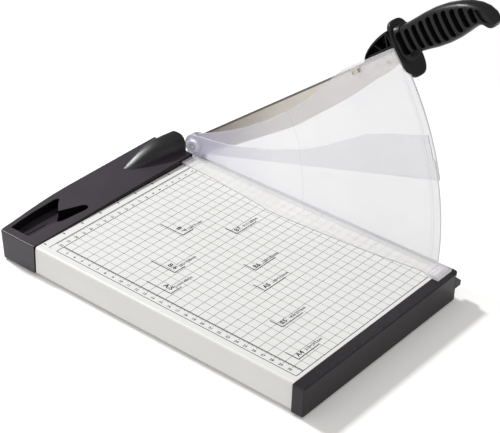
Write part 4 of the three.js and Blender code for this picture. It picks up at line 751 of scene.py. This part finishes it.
def bars_mesh(name, rows, height):
    """Closed boxes on the table for bars given as rows (x0, x1, y0, y1) in millimetres.

    Corner i of box k is low_k + c_i (high_k - low_k), where c_i are the eight corners of a unit cube.
    """
    x0, x1, y0, y1 = np.asarray(rows, float).T * MM
    level = np.full(len(x0), TOP_Z)
    lows = np.column_stack([x0 + GUIDE_X, y0 + CUT_Y, level])
    highs = np.column_stack([x1 + GUIDE_X, y1 + CUT_Y, level + height])
    points = lows[:, None, :] + BOX_CORNERS[None] * (highs - lows)[:, None, :]
    faces = BOX_FACES[None] + len(BOX_CORNERS) * np.arange(len(lows))[:, None, None]
    return mesh_of(name, points.reshape(-1, 3), faces.reshape(-1, 4))


def tick_length(places):
    """Length of the tick at each whole millimetre: long on the grid, middle halfway, short elsewhere."""
    halfway = np.where(places % (GRID_PITCH // 2) == 0, TICK_MIDDLE, TICK_SHORT)
    return np.where(places % GRID_PITCH == 0, TICK_LONG, halfway)


def word_mesh(words, size, x, y, turn=0.0, align="CENTER"):
    """A word as a closed thin mesh, set flat on the table and turned about its anchor."""
    height = bpy.context.scene.cutter_sizes.ink_height
    curve = bpy.data.curves.new("word", "FONT")
    curve.body = words
    curve.size = size
    curve.align_x = align
    curve.align_y = "CENTER"
    curve.extrude = height / 2
    curve.offset = size * BOLDNESS
    curve.space_character = SPACING
    curve.resolution_u = LETTER_STEPS
    holder = bpy.data.objects.new("word", curve)
    bpy.context.scene.collection.objects.link(holder)
    bpy.context.view_layer.update()
    mesh = bpy.data.meshes.new_from_object(holder.evaluated_get(bpy.context.evaluated_depsgraph_get()))
    spot = Vector((GUIDE_X + x * MM, CUT_Y + y * MM, TOP_Z + height / 2))
    mesh.transform(Matrix.Translation(spot) @ Matrix.Rotation(turn, 4, "Z"))
    bpy.data.objects.remove(holder)
    bpy.data.curves.remove(curve)
    return mesh


def joined_mesh(name, meshes):
    """One mesh out of several, each removed after it is copied."""
    work = bmesh.new()
    for mesh in meshes:
        work.from_mesh(mesh)
        bpy.data.meshes.remove(mesh)
    bmesh.ops.remove_doubles(work, verts=work.verts, dist=LETTER_MERGE)
    result = bpy.data.meshes.new(name)
    work.to_mesh(result)
    work.free()
    return result


def printed(mesh):
    """Lays a mesh on the table as print, under the mesh's own name."""
    new_object(mesh.name, mesh, ["printed_ink"], "base")


def print_grid(sizes):
    """Lines at each whole centimetre inside the frame of the grid."""
    thin = sizes.line_width / MM
    (left, right), (near, far) = GRID_X, GRID_Y
    columns = np.arange(left + GRID_PITCH, right, GRID_PITCH)
    rows = np.arange(near + GRID_PITCH, far + GRID_PITCH, GRID_PITCH)
    printed(bars_mesh("printed_grid", np.vstack([
        bars_along(columns, near, far, thin, False),
        bars_along(rows, left, right, thin * ROW_SHARE, True),
    ]), sizes.ink_height))


def print_rules(sizes):
    """The frame of the grid, the rulers' lines and ticks, and the inch marks along the guide."""
    thin = sizes.line_width / MM
    thick = sizes.rule_width / MM
    (left, right), (near, far) = GRID_X, GRID_Y
    along = np.arange(left, right + 1)
    beside = np.arange(near, far + 1)
    inches = -INCH * np.arange(1, INCH_MARKS + 1)
    printed(bars_mesh("printed_rules", np.vstack([
        bars_along([near, RULER_NEAR_Y], left, right, thick, True),
        bars_along([left, right, SIDE_RULER_X], RULER_NEAR_Y, far, thick, False),
        bars_along([RULER_NEAR_Y], SIDE_RULER_X, SIDE_RULER_X + TICK_LONG, thin, True),
        bars_along(inches, *INCH_MARK_X, thick * INCH_MARK_SHARE, True),
        bars_along(along, near - tick_length(along), near, thin * TICK_SHARE, False),
        bars_along(beside, SIDE_RULER_X, SIDE_RULER_X + tick_length(beside), thin, True),
    ]), sizes.ink_height * RULE_LIFT))


def print_digits(sizes):
    """The centimetres along both rulers."""
    (left, right), (near, far) = GRID_X, GRID_Y
    printed(joined_mesh("printed_digits", [
        word_mesh(str(x // GRID_PITCH), sizes.digit_height, x, NEAR_DIGITS_Y)
        for x in range(left + GRID_PITCH, right, GRID_PITCH)
    ] + [
        word_mesh(str(-y // GRID_PITCH), sizes.digit_height, SIDE_DIGITS_X, y)
        for y in range(near, far - GRID_PITCH, GRID_PITCH)
    ]))


def print_marks(sizes):
    """An angle at each paper size's corner, with its name and its size in words, for one or both ways round."""
    bars = []
    words = []
    half = sizes.rule_width / MM * MARK_SHARE / 2
    big = sizes.label_height
    small = big * SMALL_LABEL
    quarter = math.pi / 2
    for name, short, long in PAPER_SIZES:
        bars.append((long - MARK_SHORT_LEG, long, -short - half, -short + half))
        bars.append((long - half, long + half, -short, -short + MARK_LONG_LEG))
        words.append(word_mesh(name, big, long - LABEL_SIDE, -short + LABEL_RISE, quarter, "LEFT"))
        words.append(word_mesh(
            f"{short}×{long}mm", small, long - SIZE_SIDE, -short + SIZE_RISE, quarter, "LEFT"))
        if name in TURNED_SIZES:
            bars.append((short - MARK_LONG_LEG, short, -long - half, -long + half))
            bars.append((short - half, short + half, -long, -long + MARK_SHORT_LEG))
            for letter, side in zip(name, TURNED_LETTERS):
                words.append(word_mesh(letter, big * TURNED_LETTER_SHARE, short - side, -long + TURNED_RISE))
            words.append(word_mesh(
                f"{long}×{short}mm", small, short - SIZE_SIDE, -long + TURNED_SIZE_RISE, quarter, "LEFT"))
    printed(bars_mesh("paper_angles", bars, sizes.ink_height * MARK_LIFT))
    printed(joined_mesh("paper_labels", words))


# Operators for the pieces


class CUTTER_OT_table(bpy.types.Operator):
    """Paints the table and gives it rounded edges, and finishes its feet"""

    bl_idname = "cutter.table"
    bl_label = "Dress the Table"

    def execute(self, context):
        sizes = context.scene.cutter_sizes
        dressed("table_top", "table_sheet", ["powder_paint"], "base", sizes.table_round)
        coat("foot_rubber", "foot_1", "foot_2", "foot_3", "foot_4")
        return {"FINISHED"}


class CUTTER_OT_covers(bpy.types.Operator):
    """Finishes the two end covers and the latch in black plastic with rounded edges"""

    bl_idname = "cutter.covers"
    bl_label = "Dress the Covers"

    def execute(self, context):
        sizes = context.scene.cutter_sizes
        dressed("pivot_end_cover", "pivot_cover_shell", ["cover_plastic", "recess_plastic", "tray_plastic"],
                "base", sizes.cover_round, angle=38, chooser=painted_shade_part)
        dressed("handle_end_cover", "handle_cover_shell", ["end_cover_plastic"],
                "base", sizes.cover_round, angle=38)
        dressed("blade_latch", "latch_slide_block", ["latch_plastic"],
                "latch_body", sizes.latch_round)
        return {"FINISHED"}


class CUTTER_OT_print(bpy.types.Operator):
    """Prints the grid, the two rulers and the paper-size marks on the table"""

    bl_idname = "cutter.print"
    bl_label = "Print the Table"

    def execute(self, context):
        sizes = context.scene.cutter_sizes
        print_grid(sizes)
        print_rules(sizes)
        print_digits(sizes)
        print_marks(sizes)
        return {"FINISHED"}


class CUTTER_OT_blades(bpy.types.Operator):
    """Finishes the fixed and the moving blade in ground steel"""

    bl_idname = "cutter.blades"
    bl_label = "Dress the Blades"

    def execute(self, context):
        sizes = context.scene.cutter_sizes
        dressed("counter_blade", "counter_blade_bar", ["strip_steel"], "base", sizes.strip_round)
        dressed("moving_blade", "knife_blade", ["blade_steel", "blade_back_steel"],
                "knife_arm", chooser=is_back)
        return {"FINISHED"}


class CUTTER_OT_fittings(bpy.types.Operator):
    """Finishes the pivot's pieces, the screws and the clips in plated steel and brass"""

    bl_idname = "cutter.fittings"
    bl_label = "Dress the Fittings"

    def execute(self, context):
        coat("zinc_plate", "pivot_bracket", "pivot_nut", "guard_washer", "blade_washer",
             "bracket_screw_1", "bracket_screw_2", "clamp_clip_1", "clamp_clip_2",
             "counter_blade_screw_1", "counter_blade_screw_2", "counter_blade_screw_3", "counter_blade_screw_4",
             "cover_screw_1", "cover_screw_2", "cover_screw_3", "cover_screw_4")
        coat("bolt_plate", "pivot_bolt")
        coat("screw_ringed", "handle_screw_1")
        coat("screw_dotted", "handle_screw_2")
        coat("spring_steel", "spring_washer")
        coat("plain_brass", "pivot_bush", "thrust_washer")
        coat("catch_steel", "guard_catch")
        return {"FINISHED"}


class CUTTER_OT_springs(bpy.types.Operator):
    """Finishes the clamp's springs in spring steel, each with a mesh of its own"""

    bl_idname = "cutter.springs"
    bl_label = "Dress the Springs"

    def execute(self, context):
        for index in (1, 2):
            node = f"clamp_spring_{index}"
            spring = dressed(node, f"clamp_coil_{index}", ["spring_steel"], "base")
            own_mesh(spring)
        return {"FINISHED"}


class CUTTER_OT_guards(bpy.types.Operator):
    """Finishes the two fan guards in clear plastic, which casts no shadow and sends on no soft light"""

    bl_idname = "cutter.guards"
    bl_label = "Dress the Guards"

    def execute(self, context):
        for node in ("upper_guard", "lower_guard"):
            guard = dressed(node, f"{node}_sheet", ["guard_face", "guard_edge"],
                            f"{node}_body", chooser=is_rim)
            guard.visible_shadow = False
            guard.visible_diffuse = False
        return {"FINISHED"}


class CUTTER_OT_clamp(bpy.types.Operator):
    """Finishes the paper clamp and the hub cap in clear plastic, which casts no shadow"""

    bl_idname = "cutter.clamp"
    bl_label = "Dress the Clamp and Hub Cap"

    def execute(self, context):
        clamp = dressed("paper_clamp", "clamp_bar", ["clamp_face", "clamp_edge", "clamp_end"],
                        "clamp_body", chooser=clamp_part)
        cap = dressed("hub_cap", "hub_cap_cup", ["hub_face", "hub_edge"],
                      "base", chooser=is_rim)
        for piece in (clamp, cap):
            piece.visible_shadow = False
        return {"FINISHED"}


class CUTTER_OT_handle(bpy.types.Operator):
    """Finishes the ribbed handle in black plastic with rounded edges"""

    bl_idname = "cutter.handle"
    bl_label = "Dress the Handle"

    def execute(self, context):
        sizes = context.scene.cutter_sizes
        dressed("handle", "ribbed_handle", ["grip_plastic"],
                "knife_arm", sizes.handle_round, angle=36)
        return {"FINISHED"}


# Stage


def floor_material(stage):
    """White floor: lit and shaded near the object so that it keeps the shadow, plain white well away from it."""
    material = bpy.data.materials.new("studio_floor")
    material.use_nodes = True
    tree = material.node_tree
    tree.nodes.clear()
    rays = add_node(tree, "LightPath").outputs
    seen = arithmetic(tree, "MAXIMUM", rays["Is Camera Ray"], rays["Is Glossy Ray"])
    seen = arithmetic(tree, "MAXIMUM", seen, rays["Is Transmission Ray"])
    place = add_node(tree, "TexCoord").outputs["Object"]
    distance = add_node(tree, "VectorMath", {0: place}, operation="LENGTH").outputs["Value"]
    share = arithmetic(tree, "MULTIPLY", ranged(tree, distance, *FLOOR_FADE, 0, 1), seen)
    lift = arithmetic(tree, "MULTIPLY", rays["Is Camera Ray"], stage.floor_lift)
    shaded = add_node(tree, "BsdfDiffuse", {"Color": (*stage.floor_colour, 1)})
    glow = add_node(tree, "Emission", {"Strength": lift})
    near = add_node(tree, "AddShader", {0: shaded.outputs[0], 1: glow.outputs[0]})
    white = add_node(tree, "Emission")
    mix = add_node(tree, "MixShader", {0: share, 1: near.outputs[0], 2: white.outputs[0]})
    add_node(tree, "OutputMaterial", {"Surface": mix.outputs[0]})
    return material


def make_floor(stage):
    """A large square floor under the cutter."""
    half = FLOOR_HALF
    mesh = mesh_of("floor", [(-half, -half, 0), (half, -half, 0), (half, half, 0), (-half, half, 0)],
                   [(0, 1, 2, 3)])
    mesh.materials.append(floor_material(stage))
    floor = bpy.data.objects.new("floor", mesh)
    bpy.context.scene.collection.objects.link(floor)


def make_world(stage):
    """Light from all round, brightest from above the user and weaker low at the back, white for the camera."""
    world = bpy.data.worlds.new("studio")
    bpy.context.scene.world = world
    world.use_nodes = True
    tree = world.node_tree
    light = tree.nodes["Background"]
    light.inputs["Color"].default_value = (*stage.ceiling_colour, 1)
    direction = add_node(tree, "TexCoord").outputs["Generated"]
    axis = Vector(CEILING_AXIS).normalized()
    height = add_node(tree, "VectorMath", {0: direction, 1: axis}, operation="DOT_PRODUCT").outputs["Value"]
    strength = ranged(tree, height, *CEILING_BAND, stage.ceiling_low, stage.ceiling_high)
    tree.links.new(strength, light.inputs["Strength"])
    white = add_node(tree, "Background", {"Color": (1, 1, 1, 1), "Strength": 1.0})
    camera_ray = add_node(tree, "LightPath").outputs["Is Camera Ray"]
    mix = add_node(tree, "MixShader", {0: camera_ray, 1: light.outputs[0], 2: white.outputs[0]})
    tree.links.new(mix.outputs[0], tree.nodes["World Output"].inputs["Surface"])


def make_key_lamp(stage):
    """One square lamp that points at the cutter."""
    light = bpy.data.lights.new("key", "AREA")
    light.color = stage.key_colour
    light.shape = "RECTANGLE"
    light.size = light.size_y = stage.key_size
    light.energy = stage.key_power
    lamp = bpy.data.objects.new("key", light)
    lamp.location = KEY_PLACE
    lamp.rotation_euler = (-Vector(KEY_PLACE)).to_track_quat("-Z", "Y").to_euler()
    bpy.context.scene.collection.objects.link(lamp)


def make_camera(stage):
    """The camera at the place that the printed grid in the photograph gives."""
    lens = bpy.data.cameras.new("camera")
    lens.lens = stage.lens
    lens.sensor_width = CAMERA_SENSOR
    lens.clip_end = CAMERA_CLIP_END
    camera = bpy.data.objects.new("camera", lens)
    camera.matrix_world = (
        Matrix.Translation(Vector((GUIDE_X, CUT_Y, TOP_Z)) + Vector(CAMERA_OFFSET) * MM)
        @ Matrix.Rotation(math.radians(CAMERA_AZIMUTH), 4, "Z")
        @ Matrix.Rotation(math.radians(90 - CAMERA_ELEVATION), 4, "X")
        @ Matrix.Rotation(math.radians(CAMERA_ROLL), 4, "Z"))
    bpy.context.scene.collection.objects.link(camera)
    bpy.context.scene.camera = camera


class CUTTER_OT_stage(bpy.types.Operator):
    """Makes the floor, the lights and the camera"""

    bl_idname = "cutter.stage"
    bl_label = "Set the Stage"

    def execute(self, context):
        stage = context.scene.cutter_stage
        make_floor(stage)
        make_world(stage)
        make_key_lamp(stage)
        make_camera(stage)
        context.scene.view_settings.view_transform = "Standard"
        return {"FINISHED"}


class CUTTER_PT_panel(bpy.types.Panel):
    """Lists the values and the steps that dress the cutter"""

    bl_label = "Paper Cutter"
    bl_idname = "CUTTER_PT_panel"
    bl_space_type = "VIEW_3D"
    bl_region_type = "UI"
    bl_category = "Cutter"

    def draw(self, context):
        for group in GROUPS:
            values = getattr(context.scene, group)
            for key in values.__annotations__:
                self.layout.prop(values, key)
        for operator in OPERATORS:
            self.layout.operator(operator.bl_idname)


GROUPS = {"cutter_sizes": CutterSizes, "cutter_colours": CutterColours, "cutter_stage": CutterStage}
OPERATORS = (
    CUTTER_OT_table, CUTTER_OT_covers, CUTTER_OT_print, CUTTER_OT_blades, CUTTER_OT_fittings,
    CUTTER_OT_springs, CUTTER_OT_guards, CUTTER_OT_clamp, CUTTER_OT_handle, CUTTER_OT_stage,
)
CLASSES = (*GROUPS.values(), *OPERATORS, CUTTER_PT_panel)


def register():
    """Registers the classes and gives each scene its groups of values."""
    for cls in CLASSES:
        bpy.utils.register_class(cls)
    for name, group in GROUPS.items():
        setattr(bpy.types.Scene, name, bpy.props.PointerProperty(type=group))


def unregister():
    """Takes back what register did."""
    for name in GROUPS:
        delattr(bpy.types.Scene, name)
    for cls in reversed(CLASSES):
        bpy.utils.unregister_class(cls)


def main():
    register()
    bpy.ops.cutter.table()
    bpy.ops.cutter.covers()
    bpy.ops.cutter.print()
    bpy.ops.cutter.blades()
    bpy.ops.cutter.fittings()
    bpy.ops.cutter.springs()
    bpy.ops.cutter.guards()
    bpy.ops.cutter.clamp()
    bpy.ops.cutter.handle()
    bpy.ops.cutter.stage()


if __name__ == "__main__":
    main()
